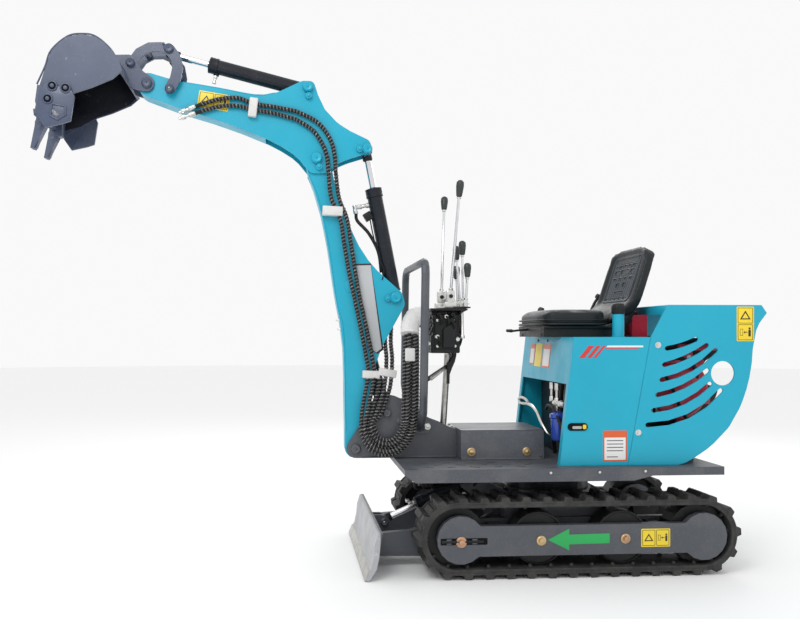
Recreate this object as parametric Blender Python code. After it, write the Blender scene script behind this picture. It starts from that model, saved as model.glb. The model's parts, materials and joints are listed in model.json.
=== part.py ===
"""Mini excavator on rubber tracks with a slewing house, a two-piece digging arm and a dozer blade.

Design frame: X = 0 on the slewing axis, the front of the machine is -X, its left side is -Y, Z = 0 on the
ground.  One empty carries every piece and shifts the machine so that its box is centred on the origin.
"""
import math

import bmesh
import bpy
from mathutils import Matrix, Vector

# ---------------------------------------------------------------- driving dimensions (metres)
SHIFT_X = 0.6160            # moves the slewing axis so the whole machine's box is centred on X = 0
GAP = 0.0003                # between pieces that rest on or bolt to one another
PIN_GAP = 0.0009            # radial room of a pin in its bore
SIDE_GAP = 0.0006           # beside an eye between its ears

TRACK_MID_Y = 0.300         # track centre line from the machine's centre
TRACK_WIDTH = 0.180
TRACK_FRONT_X = -0.430      # centre of the front idler
TRACK_REAR_X = 0.445        # centre of the rear drive
TRACK_TIP_R = 0.142         # over the lugs
LUG_HEIGHT = 0.019
BELT_THICK = 0.017
LUG_COUNT = 34
ROLLER_X = (-0.136, 0.165)
BEAM_TOP_Z = 0.185
BEAM_LOW_Z = 0.080

CHASSIS_TOP_Z = 0.262
SLEW_R = 0.155
DECK_LOW_Z = 0.335
DECK_TOP_Z = 0.381
DECK_HALF_Y = 0.375
DECK_FRONT_X = -0.613
DECK_REAR_X = 0.530

BLADE_HALF_Y = 0.385
BLADE_TOP_Z = 0.165
BLADE_PIVOT = (-0.300, 0.105)
BLADE_ROD_PIN = (-0.648, 0.133)
BLADE_BASE_PIN = (-0.330, 0.275)
BLADE_ARM_Y = 0.170
BLADE_ARM_W = 0.030

HOUSE_HALF_Y = 0.320        # outside of the engine cover
SHEET = 0.006               # cover sheet thickness
CONSOLE_TOP_Z = 0.841
HOOD_TOP_Z = 0.957
FLOOR_HALF_Y = 0.140
FLOOR_TOP_Z = 0.489

BOOM_HALF_Y = 0.039
BOOM_WALL = 0.006
ARM_WALL = 0.007
ARM_GAP = 0.003             # between the boom's sides and the arm's cheeks
BRACKET_WALL = 0.013
BRACKET_GAP = 0.010         # between the boom's sides and the bracket's cheeks
BUCKET_HALF_Y = 0.190
BUCKET_WALL = 0.008
EYE_HALF_Y = 0.018          # half width of a cylinder's eye

BOOM_FOOT = (-0.758, 0.417)
BOOM_BASE_PIN = (-0.640, 0.552)
BOOM_ROD_PIN = (-0.776, 1.034)
ARM_BASE_PIN = (-0.604, 0.991)
ELBOW = (-0.907, 1.520)
ARM_ROD_PIN = (-0.714, 1.557)
BUCKET_BASE_PIN = (-0.941, 1.787)
ROCKER_FOOT = (-1.454, 1.764)
ROCKER_TOP = (-1.457, 1.914)
LINK_END = (-1.600, 1.862)
BUCKET_PIVOT = (-1.540, 1.788)

# cylinder = (barrel radius, base pin to gland, rod radius, rod length)
BOOM_CYL = (0.0270, 0.405, 0.0125, 0.430)
ARM_CYL = (0.0290, 0.430, 0.0130, 0.455)
BUCKET_CYL = (0.0270, 0.383, 0.0125, 0.390)
BLADE_CYL = (0.0250, 0.205, 0.0120, 0.240)

ARM_IN_Y = BOOM_HALF_Y + ARM_GAP
ARM_HALF_Y = ARM_IN_Y + ARM_WALL
BRACKET_IN_Y = BOOM_HALF_Y + BRACKET_GAP
BRACKET_HALF_Y = BRACKET_IN_Y + BRACKET_WALL
BUCKET_EAR_IN_Y = ARM_HALF_Y + 0.0010
BUCKET_EAR_OUT_Y = BUCKET_EAR_IN_Y + 0.010
ROCKER_IN_Y = BUCKET_EAR_OUT_Y + 0.006
ROCKER_OUT_Y = ROCKER_IN_Y + 0.008

# ---------------------------------------------------------------- scene
for old in list(bpy.data.objects):
    bpy.data.objects.remove(old, do_unlink=True)
PARTS = bpy.data.collections.new("mini_excavator")
bpy.context.scene.collection.children.link(PARTS)
FRAME = bpy.data.objects.new("machine_frame", None)
FRAME.location = (SHIFT_X, 0, 0)
PARTS.objects.link(FRAME)

COLOURS = {
    "turquoise": ((0.026, 0.402, 0.515), 0.35, 0.0),
    "charcoal": ((0.071, 0.079, 0.098), 0.50, 0.2),
    "steel_gray": ((0.140, 0.168, 0.235), 0.50, 0.3),
    "blade_gray": ((0.330, 0.340, 0.360), 0.50, 0.3),
    "black": ((0.018, 0.018, 0.022), 0.45, 0.1),
    "rubber": ((0.020, 0.020, 0.021), 0.80, 0.0),
    "chrome": ((0.700, 0.700, 0.720), 0.15, 1.0),
    "red": ((0.350, 0.020, 0.030), 0.40, 0.0),
    "seat": ((0.015, 0.015, 0.017), 0.60, 0.0),
    "silver": ((0.550, 0.550, 0.540), 0.35, 0.8),
}


def material(kind, name):
    """A Principled material for one piece, in the colour group it belongs to."""
    rgb, rough, metal = COLOURS[kind]
    mat = bpy.data.materials.new(name + "_" + kind)
    mat.use_nodes = True
    shader = mat.node_tree.nodes["Principled BSDF"]
    shader.inputs["Base Color"].default_value = (*rgb, 1.0)
    shader.inputs["Roughness"].default_value = rough
    shader.inputs["Metallic"].default_value = metal
    return mat


# ---------------------------------------------------------------- shape helpers
def add_mesh(mesh):
    """Put a mesh in the scene as a nameless working object."""
    obj = bpy.data.objects.new("work", mesh)
    PARTS.objects.link(obj)
    return obj


def from_bmesh(bm):
    mesh = bpy.data.meshes.new("work")
    bm.to_mesh(mesh)
    bm.free()
    return add_mesh(mesh)


def mesh_of(curve_obj):
    """Replace a curve object by its closed, welded mesh."""
    bpy.context.view_layer.update()
    graph = bpy.context.evaluated_depsgraph_get()
    mesh = bpy.data.meshes.new_from_object(curve_obj.evaluated_get(graph))
    mesh.transform(curve_obj.matrix_world)
    curve = curve_obj.data
    bpy.data.objects.remove(curve_obj)
    bpy.data.curves.remove(curve)
    bm = bmesh.new()
    bm.from_mesh(mesh)
    bmesh.ops.remove_doubles(bm, verts=bm.verts, dist=0.00001)
    bmesh.ops.recalc_face_normals(bm, faces=bm.faces)
    bm.to_mesh(mesh)
    bm.free()
    return add_mesh(mesh)


def prism(outlines, y0, y1):
    """A flat outline in X and Z, or an outline and its holes, extruded from y0 to y1."""
    if isinstance(outlines[0][0], (int, float)):
        outlines = [outlines]
    curve = bpy.data.curves.new("outline", "CURVE")
    curve.dimensions = "2D"
    curve.fill_mode = "BOTH"
    curve.extrude = abs(y1 - y0) / 2
    for outline in outlines:
        spline = curve.splines.new("POLY")
        spline.points.add(len(outline) - 1)
        for point, (x, z) in zip(spline.points, outline):
            point.co = (x, z, 0, 1)
        spline.use_cyclic_u = True
    obj = bpy.data.objects.new("outline", curve)
    PARTS.objects.link(obj)
    obj.matrix_world = Matrix.Translation((0, (y0 + y1) / 2, 0)) @ Matrix.Rotation(math.pi / 2, 4, "X")
    return mesh_of(obj)


def box(x0, x1, y0, y1, z0, z1):
    bm = bmesh.new()
    bmesh.ops.create_cube(bm, size=1.0)
    size = Vector((x1 - x0, y1 - y0, z1 - z0))
    bmesh.ops.scale(bm, vec=size, verts=bm.verts)
    bmesh.ops.translate(bm, vec=Vector((x0, y0, z0)) + size / 2, verts=bm.verts)
    return from_bmesh(bm)


def bar(start, end, radius, sides=16, radius_end=None):
    """A round bar between two points, or a cone where its ends differ."""
    start, end = Vector(start), Vector(end)
    bm = bmesh.new()
    bmesh.ops.create_cone(bm, cap_ends=True, segments=sides, radius1=radius,
                          radius2=radius if radius_end is None else radius_end, depth=(end - start).length)
    turn = (end - start).to_track_quat("Z", "Y").to_matrix().to_4x4()
    bmesh.ops.transform(bm, matrix=Matrix.Translation((start + end) / 2) @ turn, verts=bm.verts)
    return from_bmesh(bm)


def turned(origin, axis, profile, sides=16):
    """A solid turned about an axis, from (distance along it, radius) points that start and end on it."""
    bm = bmesh.new()
    verts = [bm.verts.new((radius, 0, along)) for along, radius in profile]
    edges = [bm.edges.new(pair) for pair in zip(verts, verts[1:])]
    bmesh.ops.spin(bm, geom=verts + edges, cent=(0, 0, 0), axis=(0, 0, 1), dvec=(0, 0, 0),
                   angle=2 * math.pi, steps=sides, use_merge=True)
    bmesh.ops.remove_doubles(bm, verts=bm.verts, dist=0.00002)
    bmesh.ops.recalc_face_normals(bm, faces=bm.faces)
    turn = Vector(axis).to_track_quat("Z", "Y").to_matrix().to_4x4() @ Matrix.Rotation(0.11, 4, "Z")
    bmesh.ops.transform(bm, matrix=Matrix.Translation(origin) @ turn, verts=bm.verts)
    return from_bmesh(bm)


def pin(centre, y0, y1, radius, sides=12):
    """A round bar along Y through a point given in X and Z."""
    return steps_pin(centre, [(min(y0, y1), max(y0, y1), radius)], sides)


def steps_pin(centre, steps, sides=12):
    """A stepped round bar along Y from (start, end, radius) stretches that follow one another."""
    profile = [(steps[0][0], 0)]
    for y0, y1, radius in steps:
        profile += [(y0, radius), (y1, radius)]
    profile.append((steps[-1][1], 0))
    return turned((centre[0], 0, centre[1]), (0, 1, 0), profile, sides)


def shaft(centre, steps, sides=12):
    """A stepped pin that is the same on both sides, from (inner, outer, radius) stretches from Y = 0 out."""
    inner, outer, radius = steps[0]
    left = [(-o, -i, r) for i, o, r in reversed(steps[1:])]
    return steps_pin(centre, left + [(-outer, outer, radius)] + list(steps[1:]), sides)


def stubs(centre, steps, sides=12):
    """The same stepped boss on both sides, with nothing between."""
    return (steps_pin(centre, steps, sides), steps_pin(centre, [(-o, -i, r) for i, o, r in reversed(steps)], sides))


def pipe(points, radius, resolution=2, bend=0.0):
    """A round tube along points, with its inner corners rounded by arcs of the bend radius."""
    curve = bpy.data.curves.new("pipe", "CURVE")
    curve.dimensions = "3D"
    curve.bevel_depth = radius
    curve.bevel_resolution = resolution
    curve.use_fill_caps = True
    path = round_path([Vector(p) for p in points], bend) if bend else [Vector(p) for p in points]
    spline = curve.splines.new("POLY")
    spline.points.add(len(path) - 1)
    for point, co in zip(spline.points, path):
        point.co = (*co, 1)
    obj = bpy.data.objects.new("pipe", curve)
    PARTS.objects.link(obj)
    return mesh_of(obj)


def round_path(points, bend, steps=3):
    """Replace each inner corner of a path by an arc."""
    path = [points[0]]
    for before, here, after in zip(points, points[1:], points[2:]):
        a, b = (before - here).normalized(), (after - here).normalized()
        half = a.angle(b) / 2
        cut = min(bend / math.tan(half), (before - here).length * 0.49, (after - here).length * 0.49)
        radius = cut * math.tan(half)
        centre = here + (a + b).normalized() * (radius / math.sin(half))
        start, end = here + a * cut - centre, here + b * cut - centre
        for i in range(steps + 1):
            path.append(centre + start.slerp(end, i / steps).normalized() * radius)
    path.append(points[-1])
    return path


def smooth(points, steps=2):
    """Points along a smooth curve through the route's own points."""
    pts = [Vector(p) for p in points]
    ends = [2 * pts[0] - pts[1]] + pts + [2 * pts[-1] - pts[-2]]
    path = []
    for p0, p1, p2, p3 in zip(ends, ends[1:], ends[2:], ends[3:]):
        for i in range(steps):
            t = i / steps
            path.append(0.5 * ((2 * p1) + (p2 - p0) * t + (2 * p0 - 5 * p1 + 4 * p2 - p3) * t * t
                               + (3 * p1 - p0 - 3 * p2 + p3) * t ** 3))
    path.append(pts[-1])
    return path


def fillet(corners, steps=4):
    """An outline from (x, z, radius) corners, each rounded by its radius where there is room."""
    outline = []
    count = len(corners)
    for i, (x, z, radius) in enumerate(corners):
        here = Vector((x, z))
        a = Vector(corners[i - 1][:2]) - here
        b = Vector(corners[(i + 1) % count][:2]) - here
        angle = a.angle(b)
        if radius <= 0 or angle > math.radians(177):
            outline.append((x, z))
            continue
        cut = min(radius / math.tan(angle / 2), a.length * 0.49, b.length * 0.49)
        round_r = cut * math.tan(angle / 2)
        a.normalize()
        b.normalize()
        centre = here + (a + b).normalized() * (round_r / math.sin(angle / 2))
        start, end = here + a * cut - centre, here + b * cut - centre
        turn = start.angle_signed(end)
        number = max(1, math.ceil(steps * abs(turn) / (math.pi / 2) - 0.3))
        for k in range(number + 1):
            c, s = math.cos(-turn * k / number), math.sin(-turn * k / number)
            outline.append((centre.x + start.x * c - start.y * s, centre.y + start.x * s + start.y * c))
    return outline


def circle(centre, radius, sides=24):
    return [(centre[0] + radius * math.cos(2 * math.pi * i / sides),
             centre[1] + radius * math.sin(2 * math.pi * i / sides)) for i in range(sides)]


def band(points, half, cap_steps=4):
    """A flat strip with round ends along a path in X and Z."""
    pts = [Vector(p) for p in points]
    left, right = [], []
    for i, p in enumerate(pts):
        along = (pts[min(i + 1, len(pts) - 1)] - pts[max(i - 1, 0)]).normalized()
        side = Vector((-along.y, along.x)) * half
        left.append(p + side)
        right.append(p - side)

    def cap(centre, start):
        return [centre + Matrix.Rotation(-math.pi * k / cap_steps, 2) @ start for k in range(1, cap_steps)]

    outline = left + cap(pts[-1], left[-1] - pts[-1]) + right[::-1] + cap(pts[0], right[0] - pts[0])
    return [(p.x, p.y) for p in outline]


def arc(centre, radius, start, end, steps):
    """Points on an arc in X and Z between two angles in degrees."""
    return [(centre[0] + radius * math.cos(math.radians(start + (end - start) * i / steps)),
             centre[1] + radius * math.sin(math.radians(start + (end - start) * i / steps)))
            for i in range(steps + 1)]


def combine(target, tool, operation):
    """Boolean of two working objects; the tool is used up."""
    step = target.modifiers.new("combine", "BOOLEAN")
    step.object = tool
    step.operation = operation
    step.solver = "EXACT"
    bpy.context.view_layer.update()
    graph = bpy.context.evaluated_depsgraph_get()
    mesh = bpy.data.meshes.new_from_object(target.evaluated_get(graph))
    target.modifiers.clear()
    used, target.data = target.data, mesh
    bpy.data.meshes.remove(used)
    worn = tool.data
    bpy.data.objects.remove(tool)
    bpy.data.meshes.remove(worn)
    return target


def join(target, *tools):
    for tool in tools:
        combine(target, tool, "UNION")
    return target


def cut(target, *tools):
    for tool in tools:
        combine(target, tool, "DIFFERENCE")
    return target


def finish(obj, name, kind, origin=(0, 0, 0), angle=30):
    """Name a finished piece, give it its material and put its origin on its axis."""
    obj.name = obj.data.name = name
    obj.data.transform(Matrix.Translation(-Vector(origin)))
    obj.parent = FRAME
    obj.location = origin
    obj.data.materials.clear()
    obj.data.materials.append(material(kind, name))
    obj.data.shade_smooth()
    obj.data.set_sharp_from_angle(angle=math.radians(angle))
    return obj


def at(point, y=0.0):
    return (point[0], y, point[1])


def both(y0, y1):
    """The same pair of limits on the left and on the right side."""
    return ((-y1, -y0), (y0, y1))


# ---------------------------------------------------------------- tracks and their frames
BELT_R = TRACK_TIP_R - LUG_HEIGHT
INNER_R = BELT_R - BELT_THICK
TRACK_Z = TRACK_TIP_R


def loop_point(distance, radius_out, radius_base):
    """A point on the track's loop, by its distance along the belt and its height over it."""
    run = TRACK_REAR_X - TRACK_FRONT_X
    turn = math.pi * radius_base
    d = distance % (2 * run + 2 * turn)
    if d < run:
        return (TRACK_FRONT_X + d, TRACK_Z - radius_out)
    d -= run
    if d < turn:
        a = -math.pi / 2 + d / radius_base
        return (TRACK_REAR_X + radius_out * math.cos(a), TRACK_Z + radius_out * math.sin(a))
    d -= turn
    if d < run:
        return (TRACK_REAR_X - d, TRACK_Z + radius_out)
    a = math.pi / 2 + (d - run) / radius_base
    return (TRACK_FRONT_X + radius_out * math.cos(a), TRACK_Z + radius_out * math.sin(a))


def track_outline():
    length = 2 * (TRACK_REAR_X - TRACK_FRONT_X) + 2 * math.pi * BELT_R
    pitch = length / LUG_COUNT
    outline = []
    for i in range(LUG_COUNT):
        start = (i + 0.25) * pitch
        for along, out in ((0.0, 0.0), (0.09, 1.0), (0.45, 1.0), (0.54, 0.0)):
            outline.append(loop_point(start + along * pitch, BELT_R + out * LUG_HEIGHT, BELT_R))
    inner = (arc((TRACK_REAR_X, TRACK_Z), INNER_R, -90, 90, 12)
             + arc((TRACK_FRONT_X, TRACK_Z), INNER_R, 90, 270, 12))
    return [outline, inner]


def dogbone(front, front_r, rear, rear_r, top, low):
    """Two round bosses joined by a level beam."""
    def angle(centre, radius, z):
        return math.degrees(math.asin((z - centre[1]) / radius))

    ft, fl = angle(front, front_r, top), angle(front, front_r, low)
    rt, rl = angle(rear, rear_r, top), angle(rear, rear_r, low)
    return arc(front, front_r, ft, 360 + fl, 14) + arc(rear, rear_r, -180 - rl, 180 - rt, 14)


WHEEL_R = INNER_R * math.cos(math.radians(7.5)) - 0.0004
ROLLER_Z = 0.132
ROLLER_R = ROLLER_Z - (TRACK_Z - INNER_R) - 0.0005
PLATE_OUT = TRACK_WIDTH / 2 - 0.006     # outer side plate, measured out from the track's middle
PLATE_IN = PLATE_OUT - 0.028
INNER_OUT = -0.050
INNER_IN = -0.072
MOTOR_R = 0.0550
FRONT_BOSS = (TRACK_FRONT_X + 0.012, 0.137)
REAR_BOSS = (TRACK_REAR_X + 0.007, 0.136)

for name, side in (("left", -1), ("right", 1)):
    def across(offset, s=side):
        """World Y of a distance measured outwards from the track's middle."""
        return s * (TRACK_MID_Y + offset)

    finish(prism(track_outline(), across(-TRACK_WIDTH / 2), across(TRACK_WIDTH / 2)),
           "track_" + name, "rubber", (0, across(0), 0))

    bones = dogbone(FRONT_BOSS, 0.084, REAR_BOSS, 0.084, BEAM_TOP_Z, BEAM_LOW_Z)
    frame = prism(bones, across(PLATE_IN), across(PLATE_OUT))
    frame = join(frame, prism(bones, across(INNER_IN), across(INNER_OUT)))
    for x0, x1 in ((-0.302, -0.256), (0.282, 0.322)):
        y0, y1 = sorted((across(INNER_OUT - 0.005), across(PLATE_IN + 0.005)))
        join(frame, box(x0, x1, y0, y1, 0.092, 0.174))
    y0, y1 = sorted((across(INNER_IN - 0.01), across(INNER_OUT + 0.01)))
    cut(frame, pin((TRACK_REAR_X, TRACK_Z), y0, y1, MOTOR_R + 0.0012, 22))
    finish(frame, "track_frame_" + name, "charcoal", (0, across(0), 0))

    def wheel(x, z, steps, sides, s=side):
        """A turned wheel from (inner offset, outer offset, radius) stretches, from the middle out."""
        steps = [(across(i, s), across(o, s), r) for i, o, r in steps]
        if s < 0:
            steps = [(o, i, r) for i, o, r in reversed(steps)]
        return steps_pin((x, z), steps, sides)

    hub, rim_in, rim_out, tip = INNER_OUT + GAP, -0.040, PLATE_IN - 0.011, PLATE_IN - GAP
    idler = wheel(TRACK_FRONT_X, TRACK_Z, [(hub, rim_in, 0.030), (rim_in, rim_out, WHEEL_R),
                                           (rim_out, tip, 0.030)], 22)
    finish(idler, "idler_" + name, "charcoal", (TRACK_FRONT_X, across(0), TRACK_Z))

    y0, y1 = sorted((across(hub), across(INNER_OUT + 0.0055)))
    rollers = box(ROLLER_X[0] - 0.02, ROLLER_X[1] + 0.02, y0, y1, ROLLER_Z - 0.022, ROLLER_Z + 0.022)
    for x in ROLLER_X:
        join(rollers, wheel(x, ROLLER_Z, [(INNER_OUT + 0.003, rim_in, 0.018), (rim_in, rim_out, ROLLER_R),
                                          (rim_out, tip, 0.028)], 18))
    finish(rollers, "rollers_" + name, "charcoal", (0, across(0), ROLLER_Z))

    drive = wheel(TRACK_REAR_X, TRACK_Z, [(-0.195, rim_in, MOTOR_R), (rim_in, rim_out, WHEEL_R),
                                          (rim_out, tip, 0.040)], 22)
    finish(drive, "drive_" + name, "black", (TRACK_REAR_X, across(0), TRACK_Z))

# ---------------------------------------------------------------- chassis between the tracks
CHASSIS_Y = TRACK_MID_Y + INNER_IN - GAP
chassis = box(-0.225, 0.235, -CHASSIS_Y, CHASSIS_Y, 0.100, CHASSIS_TOP_Z - 0.030)
join(chassis, bar((0, 0, CHASSIS_TOP_Z - 0.035), (0, 0, CHASSIS_TOP_Z), SLEW_R + 0.012, 32))
lug_in = BLADE_ARM_Y - BLADE_ARM_W / 2 - 0.005 - 0.025
for y0, y1 in both(lug_in, lug_in + 0.025):
    lug = prism(fillet([(-0.215, 0.215, 0), (-0.300, 0.160, 0.03), (-0.336, 0.105, 0.036),
                        (-0.300, 0.069, 0.036), (-0.215, 0.105, 0)]), y0, y1)
    join(chassis, lug)
arm_out = BLADE_ARM_Y + BLADE_ARM_W / 2
join(chassis, *stubs(BLADE_PIVOT, [(lug_in + 0.005, arm_out + 0.004, 0.0140), (arm_out + 0.004, arm_out + 0.010, 0.020)]))
for y0, y1 in both(EYE_HALF_Y + SIDE_GAP, EYE_HALF_Y + 0.012):
    join(chassis, prism(fillet([(-0.100, 0.235, 0), (-0.225, 0.180, 0), (-0.352, 0.262, 0.02),
                                (-0.350, 0.302, 0.024), (-0.300, 0.302, 0.03), (-0.170, 0.245, 0)]), y0, y1))
join(chassis, pin(BLADE_BASE_PIN, -EYE_HALF_Y - 0.018, EYE_HALF_Y + 0.018, 0.0100))
cut(chassis, box(-0.205, 0.215, -CHASSIS_Y + 0.02, CHASSIS_Y - 0.02, 0.080, 0.205))
finish(chassis, "chassis_frame", "charcoal")

finish(bar((0, 0, CHASSIS_TOP_Z + GAP), (0, 0, DECK_LOW_Z - 0.0008), SLEW_R, 36), "slew_ring", "black")


# ---------------------------------------------------------------- hydraulic cylinders
def cylinder(name, base, rod_end, sizes, base_half=EYE_HALF_Y, eye_half=EYE_HALF_Y, eye_r=0.024,
             pin_r=0.0100, rod_kind="chrome"):
    """A barrel with a bored base eye, and a rod with a solid eye, on the line between two pins."""
    barrel_r, gland, rod_r, rod_len = sizes
    a, b = Vector(at(base)), Vector(at(rod_end))
    along = (b - a).normalized()
    bore_r = rod_r + 0.0008
    neck = min(base_half, eye_r) * 0.95
    barrel = turned(a, along, [(0.004, 0), (0.004, neck), (eye_r * 1.3, neck), (eye_r * 1.3, barrel_r),
                               (gland - 0.030, barrel_r), (gland - 0.030, barrel_r + 0.0025),
                               (gland, barrel_r + 0.0025), (gland, bore_r), (eye_r + 0.014, bore_r),
                               (eye_r + 0.014, 0)], 16)
    join(barrel, pin(base, -base_half, base_half, eye_r, 14))
    cut(barrel, pin(base, -base_half - 0.01, base_half + 0.01, pin_r + PIN_GAP))
    finish(barrel, name + "_barrel", "black", at(base))
    neck = min(eye_half, eye_r) * 0.92
    rod = turned(b, -along, [(0.006, 0), (0.006, neck), (eye_r * 1.6, neck), (eye_r * 1.6, rod_r),
                             (rod_len, rod_r), (rod_len, 0)], 12)
    join(rod, pin(rod_end, -eye_half, eye_half, eye_r, 14))
    finish(rod, name + "_rod", rod_kind, at(rod_end))


# ---------------------------------------------------------------- dozer blade
blade = prism([(-0.706, BLADE_TOP_Z), (-0.718, 0.125), (-0.722, 0.083), (-0.730, 0.045), (-0.754, 0.0035),
               (-0.737, 0.0035), (-0.712, 0.040), (-0.703, 0.083), (-0.699, 0.125), (-0.690, BLADE_TOP_Z)],
              -BLADE_HALF_Y, BLADE_HALF_Y)
for y0, y1 in both(BLADE_ARM_Y - BLADE_ARM_W / 2, BLADE_ARM_Y + BLADE_ARM_W / 2):
    join(blade, prism(fillet([(-0.712, 0.120, 0), (-0.400, 0.142, 0.1), (BLADE_PIVOT[0] + 0.036, 0.142, 0.036),
                              (BLADE_PIVOT[0] + 0.036, 0.069, 0.036), (-0.360, 0.060, 0.1),
                              (-0.520, 0.036, 0.15), (-0.716, 0.040, 0)]), y0, y1))
for y0, y1 in both(EYE_HALF_Y + SIDE_GAP, EYE_HALF_Y + 0.012):
    join(blade, prism(fillet([(-0.706, 0.158, 0), (-0.655, 0.158, 0.02), (-0.620, 0.140, 0.02),
                              (-0.632, 0.105, 0.02), (-0.712, 0.085, 0)]), y0, y1))
join(blade, *stubs(BLADE_ROD_PIN, [(EYE_HALF_Y + 0.010, EYE_HALF_Y + 0.018, 0.014)]))
cut(blade, *stubs(BLADE_PIVOT, [(BLADE_ARM_Y - BLADE_ARM_W / 2 - 0.003, BLADE_ARM_Y + BLADE_ARM_W / 2 + 0.003,
                                 0.0140 + PIN_GAP)]))
finish(blade, "blade", "blade_gray", at(BLADE_PIVOT))
cylinder("blade_cylinder", BLADE_BASE_PIN, BLADE_ROD_PIN, BLADE_CYL, eye_r=0.021)

# ---------------------------------------------------------------- deck, bracket and floor box
deck = prism([(DECK_FRONT_X, DECK_TOP_Z), (DECK_REAR_X, DECK_TOP_Z), (DECK_REAR_X, 0.352), (0.270, 0.352),
              (0.200, DECK_LOW_Z), (DECK_FRONT_X + 0.038, DECK_LOW_Z), (DECK_FRONT_X, 0.362)],
             -DECK_HALF_Y, DECK_HALF_Y)
finish(deck, "deck", "charcoal")

BASE_Z = DECK_TOP_Z + GAP
FLOOR_FRONT_X = -0.3703
bracket = None
lobe = arc((-0.623, 0.522), 0.091, 60, 176, 10)
outline = ([(FLOOR_FRONT_X - GAP, BASE_Z), (FLOOR_FRONT_X - GAP, 0.486), (-0.428, 0.510), (-0.466, 0.524),
            (-0.493, 0.542), (-0.535, 0.588)] + lobe
           + [(-0.736, 0.516)] + arc(BOOM_FOOT, BOOM_FOOT[1] - BASE_Z, 150, 270, 8))
for y0, y1 in both(BRACKET_IN_Y, BRACKET_HALF_Y):
    cheek = prism(outline, y0, y1)
    bracket = join(bracket, cheek) if bracket else cheek
    if y0 < 0:
        join(bracket, box(-0.690, FLOOR_FRONT_X - GAP, -BRACKET_IN_Y - 0.002, BRACKET_IN_Y + 0.002,
                          BASE_Z, BASE_Z + 0.014),
             box(-0.432, FLOOR_FRONT_X - GAP, -BRACKET_IN_Y - 0.002, BRACKET_IN_Y + 0.002, BASE_Z, 0.486))
join(bracket, shaft(BOOM_FOOT, [(0, BRACKET_HALF_Y + 0.006, 0.0150)]),
     shaft(BOOM_BASE_PIN, [(0, EYE_HALF_Y + SIDE_GAP, 0.0120), (EYE_HALF_Y + SIDE_GAP, BRACKET_IN_Y + 0.002, 0.022),
                           (BRACKET_IN_Y + 0.002, BRACKET_HALF_Y + 0.006, 0.0120)]))
finish(bracket, "boom_bracket", "charcoal")

CONSOLE_X = (-0.050, 0.002)             # front face of the console at its foot and at its top
floor_box = box(FLOOR_FRONT_X, CONSOLE_X[0] - 0.004, -FLOOR_HALF_Y, FLOOR_HALF_Y, BASE_Z, FLOOR_TOP_Z)
cut(floor_box, box(FLOOR_FRONT_X + 0.01, CONSOLE_X[0] - 0.014, -FLOOR_HALF_Y + 0.01, FLOOR_HALF_Y - 0.01,
                   BASE_Z - 0.02, FLOOR_TOP_Z - 0.01))
finish(floor_box, "floor_box", "steel_gray")

# ---------------------------------------------------------------- console, engine cover and engine
SEAM = ((0.199, BASE_Z), (0.2835, CONSOLE_TOP_Z))
for name, side in (("left", -1), ("right", 1)):
    y0, y1 = side * HOUSE_HALF_Y, side * (HOUSE_HALF_Y - SHEET)
    panel = prism([(CONSOLE_X[0], BASE_Z), SEAM[0], SEAM[1], (CONSOLE_X[1], CONSOLE_TOP_Z)], y0, y1)
    finish(panel, "console_side_" + name, "turquoise")
    wing = prism(fillet([(SEAM[0][0] + 0.001, BASE_Z, 0), (SEAM[1][0] + 0.001, CONSOLE_TOP_Z, 0),
                         (0.347, HOOD_TOP_Z, 0.004), (0.698, HOOD_TOP_Z, 0.004), (0.718, 0.928, 0.003),
                         (0.681, 0.880, 0.06), (0.665, 0.800, 0.1), (0.659, 0.720, 0.3),
                         (0.636, 0.632, 0.3), (0.601, 0.550, 0.3), (0.547, 0.479, 0.3),
                         (0.467, 0.416, 0.3), (0.400, BASE_Z, 0.05)], 3), y0, y1)
    low, high = sorted((y0, y1))
    cut(wing, pin((0.552, 0.710), low - 0.01, high + 0.01, 0.044, 28))
    for left, right, sag in (((0.344, 0.800), (0.452, 0.833), 0.004), ((0.334, 0.741), (0.492, 0.811), 0.008),
                             ((0.324, 0.687), (0.525, 0.793), 0.018), ((0.309, 0.633), (0.494, 0.720), 0.014),
                             ((0.294, 0.577), (0.505, 0.672), 0.020), ((0.272, 0.525), (0.545, 0.648), 0.034)):
        a, b = Vector(left), Vector(right)
        down = Vector(((b - a).y, -(b - a).x)).normalized() * sag
        mid = (a + b) / 2 + down
        route = [a * (1 - t) ** 2 + (2 * mid - (a + b) / 2) * 2 * t * (1 - t) + b * t * t
                 for t in (0, 0.25, 0.5, 0.75, 1.0)]
        cut(wing, prism(band(route, 0.0085, 3), low - 0.01, high + 0.01))
    finish(wing, "hood_side_" + name, "turquoise")

INSIDE_Y = HOUSE_HALF_Y - SHEET - GAP
lean = (CONSOLE_X[1] - CONSOLE_X[0]) / (CONSOLE_TOP_Z - BASE_Z)
front = prism([(CONSOLE_X[0], BASE_Z), (CONSOLE_X[0] + SHEET, BASE_Z),
               (CONSOLE_X[1] + SHEET, CONSOLE_TOP_Z - SHEET), (SEAM[1][0], CONSOLE_TOP_Z - SHEET),
               (SEAM[1][0], CONSOLE_TOP_Z), (CONSOLE_X[1], CONSOLE_TOP_Z)], -INSIDE_Y, INSIDE_Y)
cut(front, box(-0.08, 0.02, -INSIDE_Y + 0.022, INSIDE_Y - 0.022, BASE_Z - 0.02, 0.672))
finish(front, "console_front", "turquoise")

hood = prism([(0.352, HOOD_TOP_Z - 0.030), (0.358, HOOD_TOP_Z - 0.030), (0.358, HOOD_TOP_Z - SHEET),
              (0.690, HOOD_TOP_Z - SHEET), (0.690, HOOD_TOP_Z), (0.352, HOOD_TOP_Z)], -INSIDE_Y, INSIDE_Y)
finish(hood, "hood_top", "turquoise")

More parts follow.
